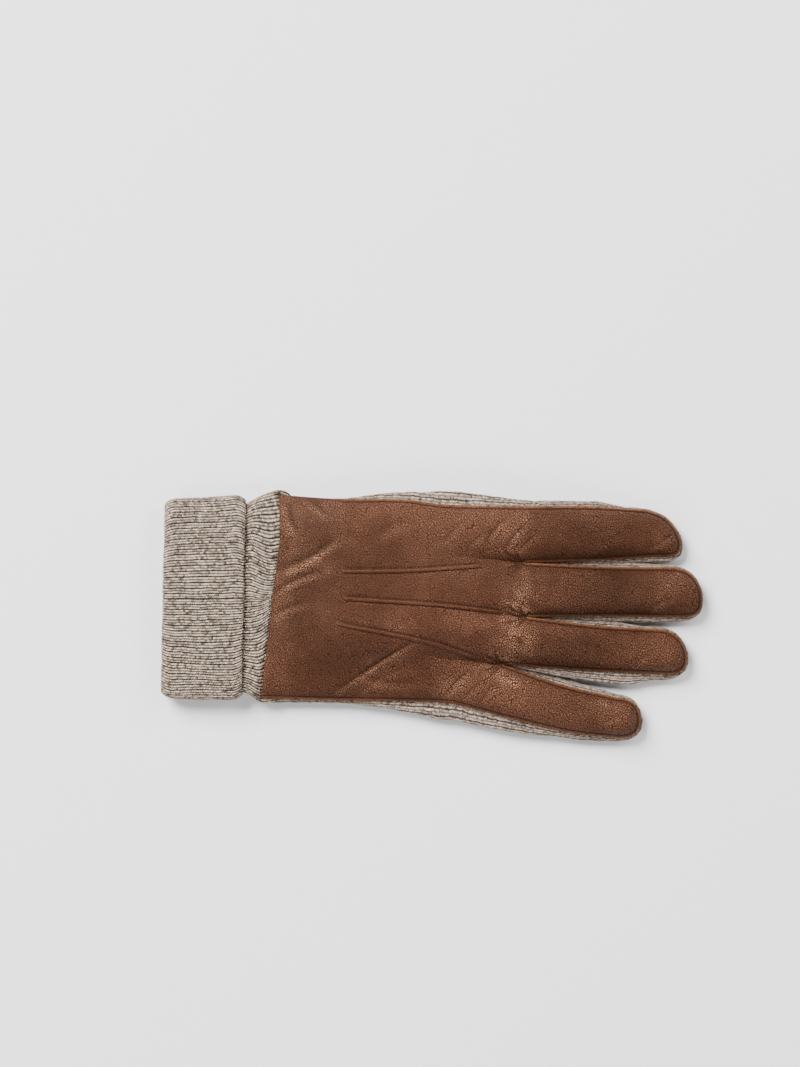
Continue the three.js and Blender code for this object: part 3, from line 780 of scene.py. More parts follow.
def palm_cut() -> HandCut:
    """Make the palm leather's outline from the back's by its insets.

    Returns:
        The cut.
    """

    def inset(table: Sequence[float], place: float) -> float:
        return float(np.interp(place * (len(table) - 1), range(len(table)), table))

    def moved(dots: Sequence[Dot], table: Sequence[float], sign: float) -> list[Dot]:
        count = len(dots) + 1
        return [Dot(dot.x, dot.y + sign * inset(table, (i + 1) / count)) for i, dot in enumerate(dots)]

    def narrowed(finger: FingerCut) -> FingerCut:
        upper, lower = [], []
        for high, low in zip(finger.upper, finger.lower):
            share = PALM_INSET_FINGER / math.dist(high, low)
            upper.append(Dot(mix(high.x, low.x, share), mix(high.y, low.y, share)))
            lower.append(Dot(mix(low.x, high.x, share), mix(low.y, high.y, share)))
        high, low = finger.upper[1], finger.lower[1]
        middle = Dot((high.x + low.x) / 2, (high.y + low.y) / 2)
        share = PALM_INSET_TIP / math.dist(finger.apex, middle)
        apex = Dot(mix(finger.apex.x, middle.x, share), mix(finger.apex.y, middle.y, share))
        return FingerCut(tuple(upper), apex, tuple(lower))

    wrist = list(WRIST)
    top = WRIST[0].y - PALM_INSET_INDEX[0]
    low = WRIST[-1].y + PALM_INSET_LITTLE[0]
    wrist[0] = Dot(wrist_x(top), top)
    wrist[-1] = Dot(wrist_x(low), low)
    sides = (moved(INDEX_SIDE, PALM_INSET_INDEX, -1.0), moved(LITTLE_SIDE, PALM_INSET_LITTLE, 1.0))
    roots = [
        Dot(INDEX_ROOT.x, INDEX_ROOT.y - PALM_INSET_INDEX[-1]),
        *(Dot(dot.x - PALM_INSET_CROTCH, dot.y) for dot in CROTCHES),
        Dot(LITTLE_ROOT.x, LITTLE_ROOT.y + PALM_INSET_LITTLE[-1]),
    ]
    return hand_cut(wrist, sides, roots, [narrowed(finger) for finger in FINGERS])


def tip_grid(limb: Limb, across: np.ndarray, forward: np.ndarray) -> tuple[np.ndarray, np.ndarray]:
    """Spread a grid over a fingertip as a half disc.

    Args:
        limb: the finger.
        across: the places across it, from 1 on its upper side to -1 on its lower side.
        forward: the places along it, from 0 where the round begins to 1 at the end.

    Returns:
        The plan points, and how far each is out from the middle towards the rim.
    """
    u, v = across[None, :], forward[:, None]
    round_x = v * np.sqrt(1 - u**2 / 2)
    round_y = u * np.sqrt(1 - v**2 / 2)
    ahead = mix(round_x, v, TIP_SQUARENESS_ALONG)
    aside = mix(round_y, u, TIP_SQUARENESS)
    middle = (limb.cap_upper + limb.cap_lower) / 2
    half = (limb.cap_upper - limb.cap_lower) / 2
    xy = middle + (limb.apex - middle) * ahead[..., None] + half * aside[..., None]
    return xy, np.minimum(1.0, np.hypot(round_x, round_y))


@dataclass(frozen=True)
class Fineness:
    """How finely a panel's net is divided."""

    columns: int
    palm_rows: int
    finger_rows: int
    tip_rows: int
    crowding: float = 0.72

    def across(self) -> np.ndarray:
        """Place the columns of one finger.

        Returns:
            Their places from 0 to 1, closer together at both sides.
        """
        even = np.linspace(0, 1, self.columns + 1)
        return even - self.crowding * np.sin(2 * math.pi * even) / (2 * math.pi)

    def tip(self) -> np.ndarray:
        """Place the rows of a fingertip.

        Returns:
            Their places from just above 0 to 1, closer together at the end.
        """
        even = np.linspace(0, 1, self.tip_rows + 1)[1:]
        return 1 - (1 - even) ** TIP_CROWDING


@dataclass
class Net:
    """A net of plan points that both faces of a panel share, and what each point knows of its place."""

    xy: np.ndarray
    radius: np.ndarray
    palm_across: np.ndarray
    fingerness: np.ndarray
    reach: np.ndarray
    quads: np.ndarray
    outline: np.ndarray
    run_ends: list[int] = field(default_factory=list)

    def rim(self) -> np.ndarray:
        """Give the outline without the wrist edge.

        Returns:
            The points' numbers from the wrist's index side round the fingers to its little side.
        """
        return self.outline[: self.run_ends[-1] + 1]


def hand_net(cut: HandCut, fine: Fineness) -> Net:
    """Spread a net over a hand panel.

    Args:
        cut: the panel's outline.
        fine: how finely it is divided.

    Returns:
        The net.
    """
    w = fine.across()
    u = 1 - 2 * w
    count = len(w) - 1
    fingers = len(cut.limbs)
    v = np.linspace(0, 1, fine.palm_rows + 1)
    rails = [rail.at(v) for rail in cut.rails]
    blocks = [mix(high[:, None], low[:, None], w[:, None]) for high, low in zip(rails, rails[1:])]
    palm = np.concatenate([block[:, :count] for block in blocks] + [blocks[-1][:, count:]], axis=1)
    place = np.concatenate([(k + w[:count]) / fingers for k in range(fingers)] + [[1.0]])
    wide = np.concatenate([np.abs(u[:count])] * fingers + [[1.0]])
    rows, columns = palm.shape[:2]
    numbers = np.arange(rows * columns).reshape(rows, columns)
    parts = {
        "xy": [palm.reshape(-1, 2)],
        "radius": [np.tile(wide, rows)],
        "palm_across": [np.tile(np.abs(1 - 2 * place), rows)],
        "fingerness": [np.repeat(FORK_SHARE * smoothstep(FORK_FROM, 1, v), columns)],
        "reach": [np.zeros(rows * columns)],
    }
    quads = [grid_quads(numbers)]
    outline = list(numbers[:, 0])
    run_ends = []
    total = rows * columns
    for k, limb in enumerate(cut.limbs):
        share = np.arange(1, fine.finger_rows + 1) / fine.finger_rows
        shaft = mix(limb.upper.at(share)[:, None], limb.lower.at(share)[:, None], w[:, None])
        tip, tip_radius = tip_grid(limb, u, fine.tip())
        xy = np.concatenate([shaft, tip])
        length = len(xy)
        fresh = total + np.arange(length * (count + 1)).reshape(length, count + 1)
        total += fresh.size
        parts["xy"].append(xy.reshape(-1, 2))
        parts["radius"].append(np.concatenate([np.tile(np.abs(u), len(shaft)), tip_radius.ravel()]))
        parts["palm_across"].append(np.zeros(fresh.size))
        reach = np.concatenate([share, np.ones(len(tip))])
        parts["reach"].append(np.repeat(reach, count + 1))
        fingerness = mix(FORK_SHARE, 1.0, smoothstep(0, FORK_TO, reach))
        parts["fingerness"].append(np.repeat(fingerness, count + 1))
        block = np.vstack([numbers[-1, k * count : (k + 1) * count + 1], fresh])
        quads.append(grid_quads(block))
        outline += list(fresh[:, 0])
        run_ends.append(len(outline) - 1 + count // 2)
        outline += list(fresh[-1, 1:]) + list(fresh[-2::-1, -1]) + [numbers[-1, (k + 1) * count]]
    outline += list(numbers[-2::-1, -1])
    run_ends.append(len(outline) - 1)
    outline += list(numbers[0, -2:0:-1])
    joined = {key: np.concatenate(arrays) for key, arrays in parts.items()}
    return Net(quads=np.concatenate(quads), outline=np.array(outline), run_ends=run_ends, **joined)


def grid_quads(numbers: np.ndarray, closed: bool = False) -> np.ndarray:
    """Make the faces of a grid of points.

    Args:
        numbers: the points' numbers, a row for each line of the grid.
        closed: whether the last line joins on to the first.

    Returns:
        Four numbers for each face.
    """
    following = np.roll(numbers, -1, axis=0) if closed else numbers[1:]
    first = numbers if closed else numbers[:-1]
    corners = [first[:, :-1], first[:, 1:], following[:, 1:], following[:, :-1]]
    return np.stack(corners, axis=-1).reshape(-1, 4)


def back_height(net: Net) -> np.ndarray:
    """Give the height of the back's outer face without its folds.

    Args:
        net: the back's net.

    Returns:
        The height at each point.
    """
    crown = mix(FINGER_CROWN[0], FINGER_CROWN[1], net.reach)
    edge = mix(FINGER_EDGE[0], FINGER_EDGE[1], net.reach)
    finger = edge + (crown - edge) * (1 - net.radius**CROWN_POWER)
    palm = PALM_EDGE + (PALM_CROWN - PALM_EDGE) * (1 - net.palm_across**PALM_CROWN_POWER)
    return lift(net.xy) + mix(palm, finger, net.fingerness)


def palm_height(net: Net) -> np.ndarray:
    """Give the height of the palm's underside.

    Args:
        net: the palm's net.

    Returns:
        The height at each point.
    """
    finger = smoothstep(FINGER_FLAT, 1, net.radius)
    palm = smoothstep(PALM_FLAT, 1, net.palm_across)
    return lift(net.xy) + RIM_LIFT * mix(palm, finger, net.fingerness)


def outward(points: np.ndarray, window: int = 1) -> np.ndarray:
    """Give the plan normals on the left of an open run of points.

    Args:
        points: the run.
        window: how many neighbours on each side settle the direction.

    Returns:
        A unit normal for each point.
    """
    count = len(points)
    after = points[np.minimum(np.arange(count) + window, count - 1)]
    before = points[np.maximum(np.arange(count) - window, 0)]
    along = after - before
    along /= np.maximum(np.hypot(along[:, 0], along[:, 1]), TINY)[:, None]
    return np.column_stack([-along[:, 1], along[:, 0]])


def crease_line(crease: Crease) -> np.ndarray:
    """Give the line that a crease runs along.

    Args:
        crease: the crease.

    Returns:
        Its points.
    """
    start, end = np.array(crease.start), np.array(crease.end)
    side = np.array([-(end - start)[1], (end - start)[0]]) / math.dist(start, end)
    t = np.linspace(0, 1, CREASE_POINTS)[:, None]
    return mix(start, end, t) + side * crease.bow * 4 * t * (1 - t)


def crease_fade(share: np.ndarray) -> np.ndarray:
    """Say how a crease fades towards its ends.

    Args:
        share: places along it, from 0 to 1.

    Returns:
        How much of it is left at each.
    """
    return np.sin(math.pi * np.clip(share, CREASE_END, 1 - CREASE_END)) ** CREASE_FADE_POWER


def crease_height(xy: np.ndarray, crease: Crease) -> np.ndarray:
    """Give the relief of one fold.

    Args:
        xy: plan points.
        crease: the fold.

    Returns:
        The height that it adds at each point.
    """
    start, end = np.array(crease.start), np.array(crease.end)
    reach = math.dist(start, end) / 2 + CREASE_REACH * crease.width + CREASE_MARGIN
    near = np.abs(xy - (start + end) / 2).max(axis=1) < reach
    height = np.zeros(len(xy))
    distance, share, left = distance_to_line(xy[near], crease_line(crease))
    valley = -crease.depth * bell(distance, crease.width)
    spread = BANK_SPREAD + crease.width
    bank = crease.bank * bell(distance * left + BANK_OFFSET * spread, spread)
    height[near] = crease_fade(share) * (valley + bank)
    return height


def nearest_crease(xy: np.ndarray, creases: list[Crease]) -> tuple[np.ndarray, np.ndarray]:
    """Measure where points lie beside the nearest crease, so that a painted shade line can be drawn along
    it.

    Args:
        xy: plan points.
        creases: the creases.

    Returns:
        How far each point is to the left of the nearest crease's line, and how far that line shows there.
    """
    beside = np.full(len(xy), CREASE_LINE.high)
    lined = np.zeros(len(xy))
    for crease in creases:
        distance, share, left = distance_to_line(xy, crease_line(crease))
        fade = crease_fade(share) * min(1.0, crease.depth / FULL_LINE)
        nearer = distance < np.abs(beside)
        beside[nearer] = (distance * left)[nearer]
        lined[nearer] = (fade * (1 - smoothstep(*CREASE_LINE, distance)))[nearer]
    return beside, lined


def back_creases() -> list[Crease]:
    """Gather the creases on the back: those of the table, and those that run out from each crotch.

    Returns:
        The creases, as deep as they are made.
    """
    creases = [
        fold._replace(depth=FOLD_GAIN * fold.depth, bank=FOLD_GAIN * fold.bank) for fold in BACK_CREASES
    ]
    for crotch in CROTCHES:
        for bearing, length in CROTCH_CREASES:
            turn = math.radians(bearing)
            start, end = (
                Dot(crotch.x + far * math.cos(turn), crotch.y + far * math.sin(turn))
                for far in (CROTCH_CREASE_START, length)
            )
            creases.append(Crease(start, end, *CROTCH_CREASE_SHAPE))
    return creases


class Slot(Enum):
    """The record's material slots."""

    LEATHER = "leather"
    SIDE_KNIT = "side_knit"
    RIB_KNIT = "rib_knit"


@dataclass
class MeshData:
    """A mesh before it becomes an object: places in millimetres, faces and what each point carries."""

    points: np.ndarray
    faces: list[list[int]]
    values: dict[str, np.ndarray] = field(default_factory=dict)
    cells: np.ndarray | None = None
    ribs_round: int = 0


def make_piece(
    name: str,
    data: MeshData,
    material: bpy.types.Material,
    replaces: Iterable[str] = (),
) -> bpy.types.Object:
    """Make a piece of the glove.

    Args:
        name: its name.
        data: its mesh, in millimetres.
        material: its finish.
        replaces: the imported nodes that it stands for.

    Returns:
        The object.
    """
    mesh = bpy.data.meshes.new(name)
    mesh.from_pydata((data.points * MM).tolist(), [], data.faces)
    mesh.polygons.foreach_set("use_smooth", [True] * len(mesh.polygons))
    for key, values in data.values.items():
        layer = mesh.attributes.new(key, "FLOAT", "POINT")
        layer.data.foreach_set("value", np.asarray(values, dtype=np.float32))
    if data.cells is not None:
        layer = mesh.uv_layers.new(name="stitch")
        corners = np.empty(len(mesh.loops), dtype=np.int32)
        mesh.loops.foreach_get("vertex_index", corners)
        uv = data.cells[corners]
        if data.ribs_round:
            u = uv[:, 0].reshape(-1, 4)
            u[u.max(axis=1, keepdims=True) - u > data.ribs_round / 2] += data.ribs_round
        layer.data.foreach_set("uv", uv.astype(np.float32).ravel())
    mesh.materials.append(material)
    mesh.update()
    piece = bpy.data.objects.new(name, mesh)
    bpy.context.scene.collection.objects.link(piece)
    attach(piece, BODY)
    if replaces:
        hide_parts(*replaces)
    log.info("%s: %d points, %d faces", name, len(data.points), len(data.faces))
    return piece


def leather_panel(
    net: Net,
    quads: np.ndarray,
    outer: np.ndarray,
    upwards: bool,
    values: dict[str, np.ndarray],
) -> MeshData:
    """Make a leather panel with a rounded rim from the heights of its outer face.

    Args:
        net: its net.
        quads: the net's faces that belong to it.
        outer: the height of its outer face at each point of the net.
        upwards: whether its outer face looks up.
        values: what each point of the net carries.

    Returns:
        The mesh.
    """
    used, quads = np.unique(quads, return_inverse=True)
    quads = quads.reshape(-1, 4)
    count = len(used)
    xy, face = net.xy[used], outer[used]
    inner = face - LEATHER if upwards else face + LEATHER
    edges = np.concatenate([quads[:, [k, (k + 1) % 4]] for k in range(4)])
    open_edge = ~np.isin(edges[:, 0] * count + edges[:, 1], edges[:, 1] * count + edges[:, 0])
    a, b = edges[open_edge].T
    along = xy[b] - xy[a]
    away = np.column_stack([along[:, 1], -along[:, 0]]) / np.maximum(np.hypot(*along.T), TINY)[:, None]
    normal = np.zeros_like(xy)
    np.add.at(normal, a, away)
    np.add.at(normal, b, away)
    rim = np.unique(a)
    normal = normal[rim] / np.maximum(np.hypot(*normal[rim].T), TINY)[:, None]
    middle = np.column_stack([xy[rim] + normal * RIM_BULGE * LEATHER, (face[rim] + inner[rim]) / 2])
    points = np.vstack([np.column_stack([xy, face]), np.column_stack([xy, inner]), middle])
    ring = np.zeros(count, dtype=int)
    ring[rim] = 2 * count + np.arange(len(rim))
    upper = np.column_stack([b, a, ring[a], ring[b]])
    lower = np.column_stack([ring[b], ring[a], a + count, b + count])
    faces = np.vstack([quads, quads[:, ::-1] + count, upper, lower])
    if not upwards:
        faces = faces[:, ::-1]
    rows = np.concatenate([used, used, used[rim]])
    return MeshData(points, faces.tolist(), {key: value[rows] for key, value in values.items()})


def linear(red: int, green: int, blue: int) -> tuple[float, float, float, float]:
    """Turn a display colour into the colour that a shader takes.

    Args:
        red: from 0 to 255.
        green: from 0 to 255.
        blue: from 0 to 255.

    Returns:
        Red, green, blue and alpha.
    """

    def one(value: int) -> float:
        share = value / 255
        return share / 12.92 if share <= 0.04045 else ((share + 0.055) / 1.055) ** 2.4

    return one(red), one(green), one(blue), 1.0


class Ramp(NamedTuple):
    """A smooth change between two values: where it begins and ends, and the results there."""

    low: float
    high: float
    start: float = 0.0
    end: float = 1.0


class Noise(NamedTuple):
    """A cloudy pattern: its fineness, its detail and its roughness."""

    scale: float
    detail: float
    roughness: float = 0.5


class Wiring:
    """A node tree that is filled by short calls."""

    def __init__(self, tree: bpy.types.NodeTree) -> None:
        """Take over an empty tree.

        Args:
            tree: the tree.
        """
        self.tree = tree
        tree.nodes.clear()

    def node(self, kind: str, inputs: dict | None = None, **settings) -> bpy.types.Node:
        """Add a node.

        Args:
            kind: its type.
            inputs: values or output sockets for its inputs, by name or number.
            settings: its own settings.

        Returns:
            The node.
        """
        node = self.tree.nodes.new(kind)
        for key, value in settings.items():
            setattr(node, key, value)
        for key, value in (inputs or {}).items():
            self.feed(node.inputs[key], value)
        return node

    def feed(self, socket: bpy.types.NodeSocket, value) -> None:
        """Set or link an input.

        Args:
            socket: the input.
            value: a plain value or an output socket.
        """
        if isinstance(value, bpy.types.NodeSocket):
            self.tree.links.new(value, socket)
        else:
            socket.default_value = value

    def math(self, operation: str, *values) -> bpy.types.NodeSocket:
        """Add a sum.

        Args:
            operation: its name.
            values: numbers or sockets.

        Returns:
            Its result.
        """
        node = self.node("ShaderNodeMath", dict(enumerate(values)), operation=operation)
        return node.outputs[0]

    def vector(self, operation: str, first, second) -> bpy.types.NodeSocket:
        """Add a sum of vectors.

        Args:
            operation: its name.
            first: a vector or a socket.
            second: the same, or a number where the vector is scaled.

        Returns:
            Its result.
        """
        inputs = {0: first, "Scale" if operation == "SCALE" else 1: second}
        return self.node("ShaderNodeVectorMath", inputs, operation=operation).outputs[0]

    def place(self) -> bpy.types.NodeSocket:
        """Add the place in the object.

        Returns:
            The place.
        """
        return self.node("ShaderNodeTexCoord").outputs["Object"]

    def noise(self, place: bpy.types.NodeSocket, noise: Noise) -> bpy.types.Node:
        """Add a cloudy pattern.

        Args:
            place: where it is read.
            noise: the pattern.

        Returns:
            The node.
        """
        inputs = dict(zip(("Scale", "Detail", "Roughness"), noise))
        return self.node("ShaderNodeTexNoise", {"Vector": place, **inputs})

    def ramp(self, value, ramp: Ramp) -> bpy.types.NodeSocket:
        """Change smoothly between two values.

        Args:
            value: what is read.
            ramp: the change.

        Returns:
            The result.
        """
        names = ("From Min", "From Max", "To Min", "To Max")
        inputs = {"Value": value, **dict(zip(names, ramp))}
        node = self.node("ShaderNodeMapRange", inputs, interpolation_type="SMOOTHSTEP")
        return node.outputs["Result"]

    def blend(self, share, first, second) -> bpy.types.NodeSocket:
        """Blend two colours.

        Args:
            share: how much of the second shows.
            first: the first colour.
            second: the second colour.

        Returns:
            The colour.
        """
        node = self.node("ShaderNodeMix", data_type="RGBA")
        sockets = {socket.identifier: socket for socket in node.inputs}
        for name, value in (("Factor_Float", share), ("A_Color", first), ("B_Color", second)):
            self.feed(sockets[name], value)
        return next(socket for socket in node.outputs if socket.identifier == "Result_Color")

    def bump(self, height: bpy.types.NodeSocket, strength: float, distance: float) -> bpy.types.NodeSocket:
        """Add relief.

        Args:
            height: the height at each place.
            strength: how far it shows.
            distance: how deep it is, in metres.

        Returns:
            The normal.
        """
        inputs = {"Height": height, "Strength": strength, "Distance": distance}
        return self.node("ShaderNodeBump", inputs).outputs[0]

    def surface(self, inputs: dict) -> None:
        """End a material.

        Args:
            inputs: what its shader takes, by name.
        """
        shader = self.node("ShaderNodeBsdfPrincipled", inputs)
        self.node("ShaderNodeOutputMaterial", {"Surface": shader.outputs[0]})


def new_material(name: str) -> tuple[bpy.types.Material, Wiring]:
    """Make an empty material.

    Args:
        name: its name.

    Returns:
        The material and its tree.
    """
    material = bpy.data.materials.new(name)
    material.use_nodes = True
    return material, Wiring(material.node_tree)


def node_group(name: str, fill: Callable[[Wiring], dict[str, bpy.types.NodeSocket]]) -> bpy.types.NodeTree:
    """Make a node group, or find it if it has been made.

    Args:
        name: its name.
        fill: what adds its nodes and gives its results by name.

    Returns:
        The node group.
    """
    if name in bpy.data.node_groups:
        return bpy.data.node_groups[name]
    tree = bpy.data.node_groups.new(name, "ShaderNodeTree")
    w = Wiring(tree)
    results = fill(w)
    for key in results:
        tree.interface.new_socket(key, in_out="OUTPUT", socket_type="NodeSocketFloat")
    out = w.node("NodeGroupOutput")
    for key, value in results.items():
        w.feed(out.inputs[key], value)
    return tree


@dataclass(frozen=True)
class Grain:
    """The leather's grain: pebbles of uneven size between fine cracks, plainer in some places."""

    name: str = "leather_grain"
    warp: Noise = Noise(230.0, 2.0)
    warp_size: float = 0.0034
    turn: float = 0.7
    stretch: tuple[float, float, float] = (1.25, 0.82, 1.0)
    pebble_scale: float = 860.0
    pebble_top: Ramp = Ramp(0.0, 0.3)
    pebble_levels: tuple[float, float] = (0.25, 0.8)
    crack: Ramp = Ramp(0.02, 0.24, 1.0, 0.0)
    # Painted highlight: the pebbles read a little way towards the light mark each one's lit side.
    toward_light: tuple[float, float, float] = (-0.00024, 0.00003, 0.0)
    lit_side: Ramp = Ramp(-0.05, 0.13)
    highlight_top: Ramp = Ramp(0.05, 0.2)
    wrinkle: Noise = Noise(1900.0, 2.0, 0.6)
    wrinkle_height: float = 0.15
    plainness: Noise = Noise(42.0, 3.0, 0.55)
    plain_part: Ramp = Ramp(0.34, 0.62, 0.85, 1.0)
    cloud: Noise = Noise(24.0, 5.0, 0.6)
    cloud_part: Ramp = Ramp(0.32, 0.68)

    def pebbles(self, w: Wiring, place: bpy.types.NodeSocket, feature: str) -> bpy.types.Node:
        """Add the pattern of pebbles.

        Args:
            w: the tree.
            place: where it is read.
            feature: what is read of it.

        Returns:
            The node.
        """
        inputs = {"Vector": place, "Scale": self.pebble_scale}
        return w.node("ShaderNodeTexVoronoi", inputs, feature=feature, voronoi_dimensions="2D")

    def fill(self, w: Wiring) -> dict[str, bpy.types.NodeSocket]:
        """Add the grain's nodes.

        Args:
            w: the tree.

        Returns:
            A height, how far each place is a crack, a tone for each pebble, the side of it that faces the
            light and gets a painted highlight, and a broad cloud.
        """
        place = w.place()
        shift = w.vector("SUBTRACT", w.noise(place, self.warp).outputs["Color"], (0.5, 0.5, 0.5))
        shifted = w.vector("ADD", place, w.vector("SCALE", shift, self.warp_size))
        inputs = {"Vector": shifted, "Angle": self.turn}
        turned = w.node("ShaderNodeVectorRotate", inputs, rotation_type="Z_AXIS").outputs[0]
        moved = w.vector("MULTIPLY", turned, self.stretch)
        inside = self.pebbles(w, moved, "DISTANCE_TO_EDGE").outputs["Distance"]
        # Read again towards the light, the pebbles mark their lit sides for a painted highlight.
        moved_on = w.vector("ADD", moved, self.toward_light)
        beside = self.pebbles(w, moved_on, "DISTANCE_TO_EDGE").outputs["Distance"]
        chance = self.pebbles(w, moved, "F1").outputs["Color"]
        tone = w.node("ShaderNodeSeparateXYZ", {0: chance}).outputs[0]
        share = w.ramp(w.noise(place, self.plainness).outputs[0], self.plain_part)
        top = w.math("MULTIPLY", w.ramp(inside, self.pebble_top), share)
        high = w.math("MULTIPLY", top, w.math("MULTIPLY_ADD", tone, *self.pebble_levels))
        wrinkle = w.noise(place, self.wrinkle).outputs[0]
        painted_highlight = w.ramp(w.math("SUBTRACT", inside, beside), self.lit_side)
        return {
            "Height": w.math("MULTIPLY_ADD", wrinkle, self.wrinkle_height, high),
            "Crack": w.math("MULTIPLY", w.ramp(inside, self.crack), share),
            "Tone": tone,
            "Rubbed": w.math("MULTIPLY", painted_highlight, w.ramp(inside, self.highlight_top)),
            "Cloud": w.ramp(w.noise(place, self.cloud).outputs[0], self.cloud_part),
        }


@dataclass(frozen=True)
class Yarn:
    """The marled yarn: light, middle and dark fibres twisted together, with loose hairs."""

    name: str = "marled_yarn"
    fleck: Noise = Noise(900.0, 3.0, 0.7)
    fleck_part: Ramp = Ramp(0.36, 0.64)
    hair: Noise = Noise(3600.0, 2.0, 0.6)
    patch: Noise = Noise(280.0, 3.0, 0.6)
    patch_part: Ramp = Ramp(0.34, 0.66)

    def fill(self, w: Wiring) -> dict[str, bpy.types.NodeSocket]:
        """Add the yarn's nodes.

        Args:
            w: the tree.

        Returns:
            A tone, a second tone and a height.
        """
        place = w.place()
        noises = (self.fleck, self.hair, self.patch)
        fleck, hair, patch = (w.noise(place, noise).outputs[0] for noise in noises)
        return {
            "Tone": w.ramp(fleck, self.fleck_part),
            "Patch": w.ramp(patch, self.patch_part),
            "Height": w.math("ADD", fleck, hair),
        }


@dataclass(frozen=True)
class LeatherFinish:
    """The leather's colours, how they share in it, how it shines, and its painted highlights and shade."""

    name: str = "brown_leather"
    grain: Grain = Grain()
    grain_depth: float = 0.00014
    # The dark colour fills the cracks and is painted as shade in folds and along creases.
    dark: tuple[int, int, int] = (8, 4, 2)
    middle: tuple[int, int, int] = (52, 26, 16)
    light: tuple[int, int, int] = (62, 32, 20)
    # The next colour is painted as a highlight on the lit side of the pebbles.
    painted_highlight: tuple[int, int, int] = (168, 124, 98)
    raw: tuple[int, int, int] = (104, 69, 46)
    # The groove colour darkens the stitch lines and paints the shade lines along the tucks' feet.
    groove: tuple[int, int, int] = (16, 8, 4)
    shine: tuple[int, int, int] = (255, 214, 178)
    tone_share: float = 0.3
    cloud_share: float = 0.7
    crack_dark: tuple[float, float] = (0.3, 0.66)
    highlight_gain: float = 0.6
    highlight_cloud: Ramp = Ramp(0.2, 0.9, 0.1, 0.22)
    crease_ragged: float = 0.5
    crease_line: Ramp = Ramp(0.12, 0.5, 0.85, 0.0)
    hollow_dark: float = 0.5
    fray: Noise = Noise(700.0, 3.0)
    fray_reach: float = 0.7
    raw_part: Ramp = Ramp(0.4, 0.85, 1.0, 0.0)
    raw_tones: Ramp = Ramp(0.3, 0.6)
    groove_line: Ramp = Ramp(0.05, 0.42, 0.8, 0.0)
    roughness: float = 0.44
    crack_rough: float = 0.2
    raised_smooth: float = -0.06
    raw_rough: float = 0.3
    specular: float = 0.15

    def build(self) -> bpy.types.Material:
        """Make the material.

        Returns:
            The material. It reads each point's edge, the distance to a cut edge, seam, how far that edge is
            raw, hollow, painted shade for how deep it lies in a fold and for darker patches,
            raised, how far it is smoothed and painted with a highlight, plain, how far its grain
            is drawn flat, beside, how far it is to the left of a crease's line, and lined, how far the
            painted shade line along it shows.
        """
        material, w = new_material(self.name)
        grain = w.node("ShaderNodeGroup", node_tree=node_group(self.grain.name, self.grain.fill))
        height, crack, tone, painted_highlight, cloud = (
            grain.outputs[key] for key in ("Height", "Crack", "Tone", "Rubbed", "Cloud")
        )
        edge, seam, hollow, raised, plain, beside, lined = (
            w.node("ShaderNodeAttribute", attribute_name=key).outputs["Fac"]
            for key in ("edge", "seam", "hollow", "raised", "plain", "beside", "lined")
        )
        grainy = w.math("SUBTRACT", 1.0, plain)
        height, crack, painted_highlight = (w.math("MULTIPLY", value, grainy) for value in (height, crack, painted_highlight))
        mottle = w.math("MULTIPLY_ADD", tone, self.tone_share, w.math("MULTIPLY", cloud, self.cloud_share))
        base = w.blend(mottle, linear(*self.middle), linear(*self.light))
        # Cracks show darker where a highlight is painted, which deepens its contrast.
        worked = w.math("MULTIPLY", crack, w.math("MULTIPLY_ADD", raised, *self.crack_dark))
        grained = w.blend(worked, base, linear(*self.dark))
        # Painted highlight: lit pebble sides are blended lighter, most on fold banks and the listed places.
        painted_part = w.math("MULTIPLY_ADD", raised, self.highlight_gain, w.ramp(cloud, self.highlight_cloud))
        highlighted = w.blend(w.math("MULTIPLY", painted_highlight, painted_part), grained, linear(*self.painted_highlight))
        # Painted shade: a dark line along each crease, and folds and darker patches blended towards dark.
        from_line = w.math("SUBTRACT", beside, self.crease_ragged / 2)
        off_crease = w.math("ABSOLUTE", w.math("MULTIPLY_ADD", tone, self.crease_ragged, from_line))
        creased = w.math("MULTIPLY", w.ramp(off_crease, self.crease_line), lined)
        sunk = w.math("MAXIMUM", w.math("MULTIPLY", hollow, self.hollow_dark), creased)
        folded = w.blend(sunk, highlighted, linear(*self.dark))
        frayed = w.noise(w.place(), self.fray).outputs[0]
        reach = w.math("ADD", edge, w.math("MULTIPLY_ADD", frayed, self.fray_reach, -self.fray_reach / 2))
        raw_part = w.math("MULTIPLY", w.ramp(reach, self.raw_part), seam)
        off_line = w.math("ABSOLUTE", w.math("SUBTRACT", edge, EDGE_STITCH))
        grooved = w.blend(
            w.math("MULTIPLY", w.ramp(off_line, self.groove_line), seam), folded, linear(*self.groove)
        )
        raw_tone = w.blend(w.ramp(frayed, self.raw_tones), linear(*self.middle), linear(*self.raw))
        smooth = w.math("MULTIPLY", raised, self.raised_smooth)
        rough = w.math("ADD", w.math("MULTIPLY_ADD", crack, self.crack_rough, self.roughness), smooth)
        w.surface({
            "Base Color": w.blend(raw_part, grooved, raw_tone),
            "Roughness": w.math("MULTIPLY_ADD", raw_part, self.raw_rough, rough),
            "Normal": w.bump(height, 1.0, self.grain_depth),
            "Specular IOR Level": self.specular,
            "Specular Tint": linear(*self.shine),
        })
        return material


